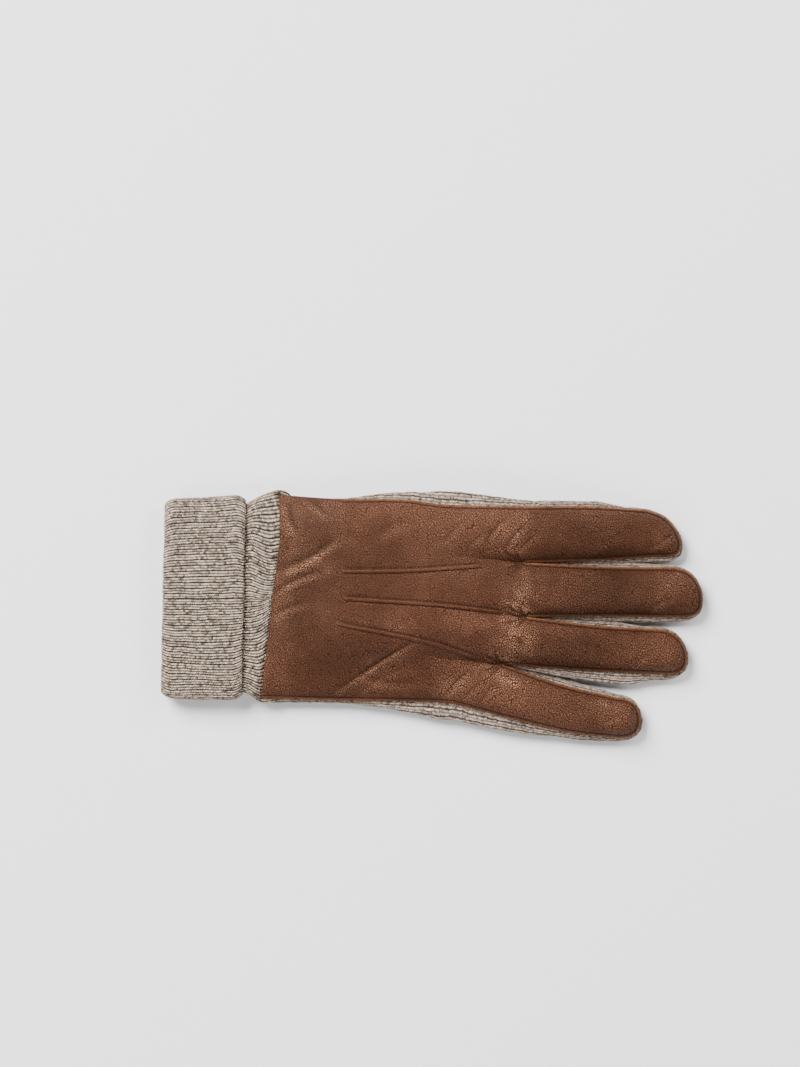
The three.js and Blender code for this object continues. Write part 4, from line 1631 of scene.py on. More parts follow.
@dataclass(frozen=True)
class KnitFinish:
    """A knit's yarn colours, the painted shade of its ribs and stitches, and how deep its stitches are."""

    name: str
    yarn: Yarn = Yarn()
    light: tuple[int, int, int] = (240, 217, 193)
    middle: tuple[int, int, int] = (128, 108, 91)
    dark: tuple[int, int, int] = (32, 22, 16)
    groove: tuple[int, int, int] = (12, 6, 3)
    rows: float = 0.45
    tie: float = 0.25
    stagger: float = 0.5
    marl: float = 0.7
    calm: float = 0.05
    patch_dark: float = 0.3
    patch_shift: float = 0.5
    bridge: float = 0.04
    valley: Ramp = Ramp(0.1, 0.75)
    split: float = 0.8
    split_edge: tuple[float, float] = (0.4, 0.6)
    shading: Ramp = Ramp(0.02, 0.8)
    wander: float = 0.06
    slant: float = 0.5
    stitch_depth: float = 0.0005
    stitch_relief: float = 0.8
    hair_height: float = 0.35
    roughness: float = 0.95
    specular: float = 0.2
    sheen: float = 0.15
    sheen_roughness: float = 0.6

    def build(self) -> bpy.types.Material:
        """Make the material.

        Returns:
            The material. It reads the stitch map, which counts ribs and stitches.
        """
        material, w = new_material(self.name)
        yarn = w.node("ShaderNodeGroup", node_tree=node_group(self.yarn.name, self.yarn.fill))
        tone, patch, hairs = (yarn.outputs[key] for key in ("Tone", "Patch", "Height"))
        cells = w.node("ShaderNodeSeparateXYZ", {0: w.node("ShaderNodeUVMap", uv_map="stitch").outputs[0]})
        across = w.math("MULTIPLY_ADD", w.math("SUBTRACT", patch, 0.5), self.wander, cells.outputs[0])
        rib = w.math("ABSOLUTE", w.math("MULTIPLY_ADD", w.math("FRACT", across), 2.0, -1.0))
        aside = w.math("ABSOLUTE", w.math("MULTIPLY_ADD", rib, 2.0, -1.0))
        leg = w.math("FLOOR", w.math("MULTIPLY", cells.outputs[0], 2.0))
        level = w.math("MULTIPLY_ADD", leg, self.stagger, cells.outputs[1])
        patchy = w.math("MULTIPLY_ADD", patch, self.patch_shift, level)
        phase = w.math("MULTIPLY_ADD", aside, self.slant, patchy)
        wave = w.math("COSINE", w.math("MULTIPLY", phase, 2 * math.pi))
        stitch = w.math("MULTIPLY_ADD", wave, 0.5, 0.5)
        deep = w.ramp(rib, Ramp(*self.split_edge, self.split, 1.0))
        tied = w.math("MULTIPLY_ADD", stitch, -self.tie * self.rows, 1.0)
        low = w.math("MULTIPLY", w.math("MULTIPLY", w.ramp(aside, self.valley), deep), tied)
        crest = w.math("SUBTRACT", 1.0, low)
        spot = w.node("ShaderNodeCombineXYZ", {0: leg, 1: w.math("FLOOR", w.math("ADD", phase, 0.5))})
        chance = w.node("ShaderNodeTexWhiteNoise", {"Vector": spot.outputs[0]}, noise_dimensions="2D")
        plain = w.math("MULTIPLY", tone, 1 - self.marl)
        marl = w.math("MULTIPLY_ADD", chance.outputs["Value"], self.marl, plain)
        mixed = w.blend(marl, linear(*self.dark), linear(*self.light))
        calm = w.blend(self.calm, mixed, linear(*self.middle))
        patched = w.blend(w.math("MULTIPLY", patch, self.patch_dark), calm, linear(*self.dark))
        # Painted shade: the colour falls to the groove colour between ribs, columns and stitches.
        hollow = w.math("MULTIPLY_ADD", stitch, self.rows, 1 - self.rows)
        shown = w.math("MULTIPLY", w.math("MULTIPLY_ADD", crest, 1 - self.bridge, self.bridge), hollow)
        relief = w.math("MULTIPLY_ADD", hairs, self.hair_height, w.math("MULTIPLY", stitch, crest))
        w.surface({
            "Base Color": w.blend(w.ramp(shown, self.shading), linear(*self.groove), patched),
            "Roughness": self.roughness,
            "Normal": w.bump(relief, self.stitch_relief, self.stitch_depth),
            "Specular IOR Level": self.specular,
            "Sheen Weight": self.sheen,
            "Sheen Roughness": self.sheen_roughness,
            "Sheen Tint": linear(*self.light),
        })
        return material


@dataclass(frozen=True)
class ThreadFinish:
    """Sewing thread, and the fibres of the yarn."""

    name: str = "sewing_thread"
    colour: tuple[int, int, int] = (14, 7, 4)
    lit: tuple[int, int, int] = (32, 18, 11)
    twist_scale: float = 900.0
    twist_bend: float = 2.0
    relief: float = 0.5
    depth: float = 0.0001
    roughness: float = 0.8
    specular: float = 0.1

    def build(self) -> bpy.types.Material:
        """Make the material.

        Returns:
            The material.
        """
        material, w = new_material(self.name)
        inputs = {"Vector": w.place(), "Scale": self.twist_scale, "Distortion": self.twist_bend}
        twist = w.node("ShaderNodeTexWave", inputs).outputs["Fac"]
        w.surface({
            "Base Color": w.blend(twist, linear(*self.colour), linear(*self.lit)),
            "Roughness": self.roughness,
            "Normal": w.bump(twist, self.relief, self.depth),
            "Specular IOR Level": self.specular,
        })
        return material


@dataclass(frozen=True)
class FloorFinish:
    """The plain pale floor."""

    name: str = "pale_floor"
    colour: tuple[int, int, int] = (228, 228, 229)
    mottle: Noise = Noise(60.0, 2.0)
    dimmest: float = 0.985
    roughness: float = 0.9

    def build(self) -> bpy.types.Material:
        """Make the material.

        Returns:
            The material.
        """
        material, w = new_material(self.name)
        mottle = w.noise(w.place(), self.mottle).outputs[0]
        dim = tuple(self.dimmest * channel for channel in linear(*self.colour)[:3]) + (1.0,)
        w.surface({"Base Color": w.blend(mottle, dim, linear(*self.colour)), "Roughness": self.roughness})
        return material


class Surface:
    """A face of a panel that heights can be read from."""

    FAR = 100.0

    def __init__(self, data: MeshData, upwards: bool = True) -> None:
        """Take a mesh.

        Args:
            data: the mesh, in millimetres.
            upwards: whether it is read from above.
        """
        self.tree = BVHTree.FromPolygons(data.points.tolist(), data.faces)
        self.sign = 1.0 if upwards else -1.0

    def height(self, x: float, y: float) -> float | None:
        """Read the height at a place.

        Args:
            x: the place along X.
            y: the place along Y.

        Returns:
            The height, or None beside the panel.
        """
        origin = Vector((x, y, self.FAR * self.sign))
        hit = self.tree.ray_cast(origin, Vector((0, 0, -self.sign)))
        return None if hit[0] is None else hit[0].z


def thread_row(places: np.ndarray, along: np.ndarray, length: float, thickness: float) -> MeshData:
    """Make a row of separate stitches, each a short rounded piece of thread.

    Args:
        places: the middle of each stitch.
        along: each stitch's direction.
        length: a stitch's length.
        thickness: its thickness.

    Returns:
        The mesh.
    """
    sides = THREAD_SIDES
    up = np.array([0.0, 0.0, 1.0])
    points, faces = [], []
    for place, way in zip(places, along):
        way = way / np.linalg.norm(way)
        aside = np.cross(up, way)
        aside /= np.linalg.norm(aside)
        over = np.cross(way, aside)
        base = len(points)
        for station, girth in zip(THREAD_STATIONS, THREAD_GIRTHS):
            for turn in np.arange(sides) * 2 * math.pi / sides:
                round_part = aside * math.cos(turn) + over * math.sin(turn)
                points.append(place + way * station * length + round_part * girth * thickness / 2)
        for row in range(len(THREAD_STATIONS) - 1):
            for k in range(sides):
                a, b = base + row * sides + k, base + row * sides + (k + 1) % sides
                faces.append([a, b, b + sides, a + sides])
        faces.append([base + k for k in reversed(range(sides))])
        faces.append([base + (len(THREAD_STATIONS) - 1) * sides + k for k in range(sides)])
    return MeshData(np.array(points), faces)


def row_on(surface: Surface, line: np.ndarray, pitch: float, sink: float) -> tuple[np.ndarray, np.ndarray]:
    """Place stitches along a plan line on a surface.

    Args:
        surface: what they lie on.
        line: the line's points.
        pitch: the distance from stitch to stitch.
        sink: how deep their middles lie in the surface.

    Returns:
        The middles and the directions.
    """
    run = run_along(line)
    count = int(run[-1] / pitch)
    middles, ways = [], []

    def spot(distance: float) -> np.ndarray | None:
        xy = [float(np.interp(distance, run, column)) for column in line.T]
        z = surface.height(*xy)
        return None if z is None else np.array([*xy, z - sink * surface.sign])

    for k in range(count):
        centre = (k + 0.5) * pitch
        here, before, after = (spot(centre + d) for d in (0.0, -pitch / 4, pitch / 4))
        if here is not None and before is not None and after is not None:
            middles.append(here)
            ways.append(after - before)
    return np.array(middles), np.array(ways)


def patches(xy: np.ndarray, places: Sequence[SoftPatch]) -> np.ndarray:
    """Say how far each place lies in one of a table's soft patches.

    Args:
        xy: the places.
        places: the patches.

    Returns:
        From 0 to about 1 for each.
    """
    total = np.zeros(len(xy))
    for painted_part in places:
        turn = math.radians(painted_part.turn)
        x, y = (xy - np.array(painted_part.middle)).T
        along, across = x * math.cos(turn) + y * math.sin(turn), y * math.cos(turn) - x * math.sin(turn)
        total += painted_part.strength * bell(np.hypot(along / painted_part.length, across / painted_part.width), 1.0)
    return total


def finish_values(edge: np.ndarray, seam: np.ndarray, **others: np.ndarray | float) -> dict[str, np.ndarray]:
    """Gather what the leather's finish reads at each point.

    Args:
        edge: the distance to a cut edge.
        seam: how far that edge is raw.
        others: any of the finish's other values, which are 0 where they aren't given.

    Returns:
        The values by their names.
    """
    names = ("hollow", "raised", "plain", "beside", "lined")
    given = {name: others.get(name, 0.0) + np.zeros(len(edge)) for name in names}
    return {"edge": edge, "seam": seam, **given}


def loose_fibres(data: MeshData, count: int, seed: int, limit: float = math.inf) -> MeshData:
    """Make the short loose fibres that stand out of a knit.

    Args:
        data: the knit's mesh, in millimetres.
        count: how many fibres there are.
        seed: the number that fixes them.
        limit: the place along X that they don't grow beyond.

    Returns:
        The fibres, each a thin bent tube with its root in the knit.
    """
    chance = np.random.default_rng(seed)
    quads = np.array([face for face in data.faces if len(face) == 4])
    quads = quads[data.points[quads, 0].max(axis=1) < limit]
    a, b, c, d = data.points[quads[chance.integers(0, len(quads), count)].T]
    normal = np.cross(c - a, d - b)
    outside = np.sign(((a - data.points.mean(axis=0)) * normal).sum())
    normal *= outside / np.maximum(np.linalg.norm(normal, axis=1), TINY)[:, None]
    way = normal + FIBRE_LEAN * chance.normal(0, 1, (count, 3))
    way /= np.linalg.norm(way, axis=1)[:, None]
    aside = np.cross(way, chance.normal(0, 1, (count, 3)))
    aside /= np.maximum(np.linalg.norm(aside, axis=1), TINY)[:, None]
    other = np.cross(way, aside)
    length = chance.uniform(*FIBRE_LENGTHS, count)[:, None]
    root = (a + b + c + d) / 4 - FIBRE_ROOT * normal
    rings = []
    for t in np.linspace(0, 1, FIBRE_STATIONS):
        centre = root + way * length * t + aside * length * FIBRE_CURL * t**2
        radius = FIBRE_RADIUS * (1 - FIBRE_TAPER * t)
        for turn in np.arange(FIBRE_SIDES) * 2 * math.pi / FIBRE_SIDES:
            rings.append(centre + radius * (math.cos(turn) * aside + math.sin(turn) * other))
    points = np.stack(rings, axis=1)
    points[..., 2] = np.maximum(points[..., 2], 0.0)
    per_fibre = FIBRE_STATIONS * FIBRE_SIDES
    one = grid_quads(np.arange(per_fibre).reshape(FIBRE_STATIONS, FIBRE_SIDES)[:, [*range(FIBRE_SIDES), 0]])
    faces = (one[None] + (np.arange(count) * per_fibre)[:, None, None]).reshape(-1, 4)
    return MeshData(points.reshape(-1, 3), faces.tolist())


@dataclass
class Finishes:
    """The materials that the pieces share."""

    leather: bpy.types.Material
    side_knit: bpy.types.Material
    rib_knit: bpy.types.Material
    thread: bpy.types.Material
    fibre: bpy.types.Material


@dataclass
class BackLeather:
    """The back of the hand: one leather panel with folds, raised tucks and a stitched raw edge."""

    finishes: Finishes
    fine: Fineness = Fineness(columns=30, palm_rows=104, finger_rows=66, tip_rows=14)

    def relief(self, net: Net, edge: np.ndarray, seam: np.ndarray) -> tuple[np.ndarray, np.ndarray]:
        """Work out the folds and the edge's shape.

        Args:
            net: the panel's net.
            edge: each point's distance to the cut edge.
            seam: how far the edge there is stitched.

        Returns:
            The height that they add at each point, and the height of the folds alone.
        """
        xy = net.xy
        folds = np.zeros(len(xy))
        for crease in back_creases():
            folds += crease_height(xy, crease)
        height = unevenness(xy, BACK_RIPPLES) + folds
        for tuck in TUCKS:
            distance, share, _ = distance_to_line(xy, Curve(tuck).points)
            fade = smoothstep(*TUCK_BED_START, share) * (1 - smoothstep(*TUCK_BED_END, share))
            height += TUCK_BED.height * bell(distance, TUCK_BED.width) * fade
        height *= smoothstep(*EDGE_FLAT, edge)
        for bead in EDGE_BEADS:
            height += seam * bead.height * bell(edge - bead.place, bead.width)
        height -= EDGE_DROP * (1 - smoothstep(0, EDGE_DROP_WIDTH, edge))
        from_wrist = xy[:, 0] - np.interp(xy[:, 1], *wrist_line())
        height -= WRIST_DROP * (1 - smoothstep(0, WRIST_DROP_WIDTH, from_wrist))
        return height, folds

    def build(self) -> Surface:
        """Make the panel, its tucks and its stitches.

        Returns:
            The panel's outer face.
        """
        net = hand_net(back_cut(), self.fine)
        rim = net.xy[net.rim()]
        edge, share, _ = distance_to_line(net.xy, rim)
        seam = np.where(share < INDEX_SIDE_SHARE, smoothstep(*RAW_EDGE, net.xy[:, 0]), 1.0)
        relief, folds = self.relief(net, edge, seam)
        # Painted light: fold valleys get painted shade, fold banks and the listed places a painted
        # highlight, some patches are drawn darker, and each crease a painted dark line.
        sunk = np.clip(-folds / FULL_HOLLOW, 0, 1)
        painted_highlight = patches(net.xy, HIGHLIGHT_PLACES) * (1 + unevenness(net.xy, HIGHLIGHT_RIPPLES))
        raised = np.clip(folds / FULL_BANK + painted_highlight - sunk, 0, 1)
        hollow = np.clip(sunk + (1 - raised) * patches(net.xy, DARK_PLACES), 0, 1)
        beside, lined = nearest_crease(net.xy, back_creases())
        flat = EDGE_PLAINNESS * bell(edge, EDGE_STITCH)
        carried = finish_values(edge, seam, hollow=hollow, raised=raised, plain=flat, beside=beside, lined=lined)
        data = leather_panel(net, net.quads, back_height(net) + relief, True, carried)
        make_piece("back_leather_skin", data, self.finishes.leather, ["back_leather"])
        surface = Surface(data)
        self.stitch_edge(surface, rim)
        for number, tuck in enumerate(TUCKS):
            self.raise_tuck(surface, Curve(tuck), number)
        return surface

    def stitch_edge(self, surface: Surface, rim: np.ndarray) -> None:
        """Sew the row of stitches round the edge.

        Args:
            surface: the panel's outer face.
            rim: the edge.
        """
        run = run_along(rim)
        line = read_along(rim, run, np.arange(0, run[-1], EDGE_STEP))
        inside = line - outward(line, 2) * EDGE_STITCH
        inside = inside[(line[:, 0] > EDGE_STITCH_FROM_X) | (line[:, 1] < 0)]
        middles, ways = row_on(surface, inside, STITCH_PITCH, EDGE_STITCH_SINK)
        row = thread_row(middles, ways, STITCH_LENGTH, STITCH_THICKNESS)
        make_piece("edge_stitches", row, self.finishes.thread)

    def raise_tuck(self, surface: Surface, curve: Curve, number: int) -> None:
        """Lay a raised tuck on the panel, with its stitches along one side.

        Args:
            surface: the panel's outer face.
            curve: the tuck's line.
            number: its number.
        """
        share = np.linspace(0, 1, TUCK_STATIONS)
        line = curve.at(share)
        side = outward(line)
        across = np.concatenate([TUCK_LEFT_FOOT, np.linspace(-1, 1, TUCK_ROUND_POINTS), TUCK_RIGHT_FOOT])
        fade = smoothstep(*TUCK_START, share) * (1 - smoothstep(*TUCK_END, share))
        points = []
        for spot, aside, rise in zip(line, side, fade):
            for a in across:
                x, y = spot + aside * a * TUCK_HALF_WIDTH * mix(TUCK_END_WIDTH, 1, rise)
                bulge = math.sqrt(max(0.0, 1 - a * a)) * TUCK_HEIGHT * rise
                shown = TUCK_FOOT - TUCK_ROUND_DROP * (abs(a) < 1) + bulge
                over = TUCK_BURIED if abs(a) > TUCK_BURIED_FROM else shown
                points.append((x, y, surface.height(x, y) + over))
        numbers = np.arange(len(points)).reshape(len(line), len(across))
        faces = grid_quads(numbers)[:, ::-1]
        # Painted shade lines along both feet, fainter on the right, and a faint painted highlight on top.
        from_line = EDGE_STITCH + TUCK_LINE * (1 - smoothstep(*TUCK_LINE_RISE, np.abs(across)))
        line_part = np.outer(fade, np.where(across > 0, TUCK_RIGHT_LINE, 1.0)).ravel()
        carried = finish_values(np.tile(from_line, len(line)), line_part, plain=TUCK_PLAIN, raised=TUCK_POLISH_AND_HIGHLIGHT)
        data = MeshData(np.array(points), faces.tolist(), carried)
        make_piece(f"tuck_{number}", data, self.finishes.leather)
        beside = (line + side * TUCK_STITCH_OFFSET)[TUCK_STITCH_SPAN]
        middles, ways = row_on(surface, beside, TUCK_STITCH_PITCH, TUCK_STITCH_SINK)
        row = thread_row(middles, ways, TUCK_STITCH_LENGTH, TUCK_STITCH_THICKNESS)
        make_piece(f"tuck_{number}_stitches", row, self.finishes.thread)


def wrist_ceiling(y: np.ndarray) -> np.ndarray:
    """Give the height that the rib has to stay under where the leather's wrist edge covers it.

    Args:
        y: the places across the wrist.

    Returns:
        The height at each place.
    """
    across = [rail.y for rail in WRIST]
    place = np.interp(-y, [-value for value in across], np.linspace(-1, 1, len(across)))
    crown = PALM_EDGE + (PALM_CROWN - PALM_EDGE) * (1 - np.abs(place) ** PALM_CROWN_POWER)
    return crown - LEATHER - WRIST_CLEARANCE


def wrist_line() -> tuple[list[float], list[float]]:
    """Give the wrist edge for reading X by Y.

    Returns:
        The places along Y, rising, and those along X.
    """
    return [dot.y for dot in reversed(WRIST)], [dot.x for dot in reversed(WRIST)]


@dataclass
class PalmLeather:
    """The palm: a smaller leather panel with turned seams, and the touch patch under the index fingertip."""

    finishes: Finishes
    fine: Fineness = Fineness(columns=20, palm_rows=74, finger_rows=54, tip_rows=10)

    def relief(self, net: Net, edge: np.ndarray) -> np.ndarray:
        """Work out the creases and the drawn-in seams, which only rise from what the glove lies on.

        Args:
            net: the panel's net.
            edge: each point's distance to its edge.

        Returns:
            The height that they add at each point.
        """
        xy = net.xy
        height = unevenness(xy, PALM_RIPPLES, upwards=True)
        for crease in PALM_CREASES:
            height += np.maximum(0.0, -crease_height(xy, crease))
        wrist = 1 - smoothstep(0, PALM_GATHER_LENGTH, xy[:, 0] - np.interp(xy[:, 1], *wrist_line()))
        across = xy[:, 1] + unevenness(xy, PALM_GATHER_WANDER)
        height += PALM_GATHER_HEIGHT * wrist * (0.5 + 0.5 * np.sin(2 * math.pi * across / PALM_GATHER_PITCH))
        along = xy[:, 0] + PALM_PUCKER_SLANT * xy[:, 1]
        pucker = PALM_PUCKER.height * (0.5 + 0.5 * np.sin(2 * math.pi * along / PALM_PUCKER_PITCH))
        height += pucker * bell(edge - PALM_PUCKER.place, PALM_PUCKER.width)
        return height + PALM_EDGE_TURN * (1 - smoothstep(0, PALM_EDGE_TURN_WIDTH, edge))

    def build(self) -> None:
        """Make the two panels and the seam between them."""
        net = hand_net(palm_cut(), self.fine)
        edge = distance_to_line(net.xy, net.xy[net.rim()])[0]
        per_row = self.fine.columns + 1
        first = (self.fine.palm_rows + 1) * (len(FINGERS) * self.fine.columns + 1)
        seam_row = round(self.fine.finger_rows * PATCH_FROM) - 1
        seam_points = first + seam_row * per_row + np.arange(per_row)
        finger_end = first + (self.fine.finger_rows + self.fine.tip_rows) * per_row
        corners = net.quads
        in_patch = ((corners >= seam_points[0]) & (corners < finger_end)).all(axis=1)
        to_seam = distance_to_line(net.xy, net.xy[seam_points])[0]
        index_only = net.xy[:, 1] > CROTCHES[0].y - 2
        to_seam = np.where(index_only, to_seam, FAR_FROM_SEAM)
        seam = PATCH_SEAM.height * bell(to_seam, PATCH_SEAM.width)
        under = palm_height(net) + self.relief(net, edge) + seam
        dull = finish_values(np.full(len(edge), FAR_FROM_SEAM), np.zeros(len(edge)))
        hole = self.in_thumb_hole(net.xy[corners].mean(axis=1))
        palm = leather_panel(net, corners[~in_patch & ~hole], under, False, dull)
        patch = leather_panel(net, corners[in_patch], under, False, dull)
        make_piece("palm_leather_skin", palm, self.finishes.leather, ["palm_leather"])
        make_piece("index_tip_patch_skin", patch, self.finishes.leather, ["index_tip_patch"])

    @staticmethod
    def in_thumb_hole(xy: np.ndarray) -> np.ndarray:
        """Say which places lie in the hole that leads into the thumb.

        Args:
            xy: the places.

        Returns:
            True for each place in it.
        """
        x, y = (xy - np.array(THUMB_HOLE_MIDDLE)).T
        turn = -THUMB_HOLE_TURN
        along = (x * math.cos(turn) - y * math.sin(turn)) / THUMB_HOLE_SIZE[0]
        across = (x * math.sin(turn) + y * math.cos(turn)) / THUMB_HOLE_SIZE[1]
        return np.hypot(along, across) < 1


@dataclass
class WallRun:
    """A knit wall's stations: its upper and lower edge, its outward direction and how far it swells."""

    top: np.ndarray
    foot: np.ndarray
    normal: np.ndarray
    top_z: np.ndarray
    foot_z: np.ndarray
    swell: np.ndarray
    run: np.ndarray


def knit_wall(stations: WallRun, ribs: int) -> MeshData:
    """Make a ribbed knit wall that hangs from its upper edge, swells out and turns in to its lower edge.

    Args:
        stations: where it runs.
        ribs: how many ribs lie one under the other.

    Returns:
        The mesh.
    """
    normal = stations.normal
    inset = ((stations.top - stations.foot) * normal).sum(axis=1)
    drift = stations.foot - stations.top + inset[:, None] * normal
    out = stations.swell * 4 / 3 + (2 * LAP + inset) / 6
    height = stations.top_z - stations.foot_z
    t = np.linspace(0, 1, ribs * WALL_RIB_SAMPLES + 1)
    weights = np.stack([(1 - t) ** 3, 3 * t * (1 - t) ** 2, 3 * t**2 * (1 - t), t**3])
    aside = np.column_stack([np.full_like(out, -LAP), out, out, -inset - LAP])
    upright = np.column_stack(
        [
            stations.top_z,
            stations.top_z - WALL_TOP_PULL * height,
            stations.foot_z + WALL_FOOT_PULL * height,
            stations.foot_z,
        ]
    )
    a, z = aside @ weights, upright @ weights
    run_a, run_z = np.gradient(a, axis=1), np.gradient(z, axis=1)
    reach = np.maximum(np.hypot(run_a, run_z), TINY)
    face_a, face_z = -run_z / reach, run_a / reach
    reached = np.hstack([np.zeros((len(a), 1)), np.cumsum(np.hypot(np.diff(a), np.diff(z)), axis=1)])
    u = reached / reached[:, -1:] * ribs * (1 - WALL_HIDDEN_SHARE / ribs)
    v = np.broadcast_to((stations.run / STITCH)[:, None], a.shape)
    crest = np.sqrt(np.maximum(0.0, 1 - (2 * (u % 1) - 1) ** 2))
    uneven = unevenness(np.stack([v * STITCH, u * WALL_RIPPLE_PITCH], axis=-1), WALL_RIPPLES)
    bump = np.sqrt(np.sin(math.pi * t)) * (WALL_RIB_DEPTH * (crest - WALL_RIB_LEVEL) + uneven)
    outer_a, outer_z = a + face_a * bump, z + face_z * bump
    few = np.arange(len(t) - 1, -1, -WALL_RIB_SAMPLES)
    within = np.sin(math.pi * t[few])
    thin = np.minimum(WALL_THICKNESS * KNIT, WALL_MOST_THICKNESS * height)[:, None]
    inner_a = a[:, few] - KNIT * mix(1.0, np.abs(face_a[:, few]), within)
    inner_z = z[:, few] - thin * within * np.clip(face_z[:, few], -1, 1)
    all_a, all_z = np.hstack([outer_a, inner_a]), np.hstack([outer_z, inner_z])
    share = np.concatenate([t, t[few]])
    plan = stations.top[:, None] + normal[:, None] * all_a[..., None] + drift[:, None] * share[:, None]
    points = np.concatenate([plan, all_z[..., None]], axis=-1)
    rows, columns = all_a.shape
    numbers = np.arange(rows * columns).reshape(rows, columns)
    around = np.column_stack([numbers, numbers[:, :1]])
    faces = grid_quads(around)[:, ::-1].tolist()
    faces += [numbers[0].tolist(), numbers[-1, ::-1].tolist()]
    cells = np.stack([np.hstack([u, u[:, few]]), np.hstack([v, v[:, few]])], axis=-1)
    return MeshData(points.reshape(-1, 3), faces, {}, cells.reshape(-1, 2))


@dataclass
class KnitSides:
    """The ribbed knit between the leathers: two outer sides and three walls between the fingers."""

    finishes: Finishes
    fine: Fineness = Fineness(columns=12, palm_rows=60, finger_rows=44, tip_rows=10, crowding=0.0)

    NAMES = (
        "index_side_wall",
        "index_middle_fourchette",
        "middle_ring_fourchette",
        "ring_little_fourchette",
        "little_side_wall",
    )

    def wanted_swell(self, run: int, xy: np.ndarray) -> np.ndarray:
        """Read how far the knit is to stand out past the back leather.

        Args:
            run: the run's number.
            xy: its upper edge.

        Returns:
            The swell at each point.
        """
        if run == 0:
            tables = [INDEX_SWELL] * 2
        elif run == len(self.NAMES) - 1:
            tables = [LITTLE_SWELL] * 2
        else:
            fingers = ("index", "middle", "ring", "little")
            sides = (f"{fingers[run - 1]}_lower", f"{fingers[run]}_upper")
            tables = [FINGER_SWELLS[side] for side in sides]
        crotch = int(np.argmin(xy[:, 0])) if 0 < run < len(self.NAMES) - 1 else 0
        first, second = (np.interp(xy[:, 0], *zip(*table)) for table in tables)
        return np.where(np.arange(len(xy)) < crotch, first, second)

    def build(self) -> None:
        """Make the five walls."""
        back, palm = hand_net(back_cut(), self.fine), hand_net(palm_cut(), self.fine)
        rim = back.rim()
        top, foot = back.xy[rim], palm.xy[palm.rim()]
        normal = outward(top, 2)
        behind = foot - normal * (LAP + KNIT)
        rise = np.maximum(lift(behind) - lift(foot), 0)
        top_z = back_height(back)[rim] - LEATHER - KNIT_CLEARANCE
        foot_z = palm_height(palm)[palm.rim()] + LEATHER + WALL_FOOT_GAP + rise
        distance = run_along(top)
        window = np.ones(2 * WALL_SMOOTHING + 1) / (2 * WALL_SMOOTHING + 1)
        start = WALL_WRIST_GAP
        for number, name in enumerate(self.NAMES):
            last = number == len(self.NAMES) - 1
            end = distance[back.run_ends[number]] - (WALL_WRIST_GAP if last else WALL_TIP_GAP)
            run = np.linspace(start, end, round((end - start) / WALL_STATION))
            edge, way, low_edge, high_z, low_z = (
                read_along(values, distance, run) for values in (top, normal, foot, top_z, foot_z)
            )
            way /= np.hypot(*way.T)[:, None]
            swell = self.wanted_swell(number, edge)
            if 0 < number < len(self.NAMES) - 1:
                swell = np.minimum(swell, GAP_FILL * self.gap_across(edge))
            swell = np.convolve(np.pad(swell, WALL_SMOOTHING, mode="edge"), window, mode="valid")
            stations = WallRun(edge, low_edge, way, high_z, low_z, swell, run)
            data = knit_wall(stations, WALL_RIBS)
            make_piece(f"{name}_knit", data, self.finishes.side_knit, [name])
            fuzz = loose_fibres(data, round(len(run) * FIBRES_PER_STATION), WALL_FIBRE_SEED + number)
            make_piece(f"{name}_fibres", fuzz, self.finishes.fibre)
            start = end + 2 * WALL_TIP_GAP

    @staticmethod
    def gap_across(edge: np.ndarray) -> np.ndarray:
        """Measure the gap between the two fingers that a wall joins.

        Args:
            edge: the wall's upper edge, which runs in along one finger and out along the next.

        Returns:
            The distance from each point to the other finger.
        """
        crotch = int(np.argmin(edge[:, 0]))
        gap = np.empty(len(edge))
        inwards, outwards = slice(0, crotch), slice(crotch, None)
        for part, other in ((inwards, outwards), (outwards, slice(0, crotch + 1))):
            offset = edge[part][:, None] - edge[other][None, ::2]
            gap[part] = np.hypot(offset[..., 0], offset[..., 1]).min(axis=1)
        return gap


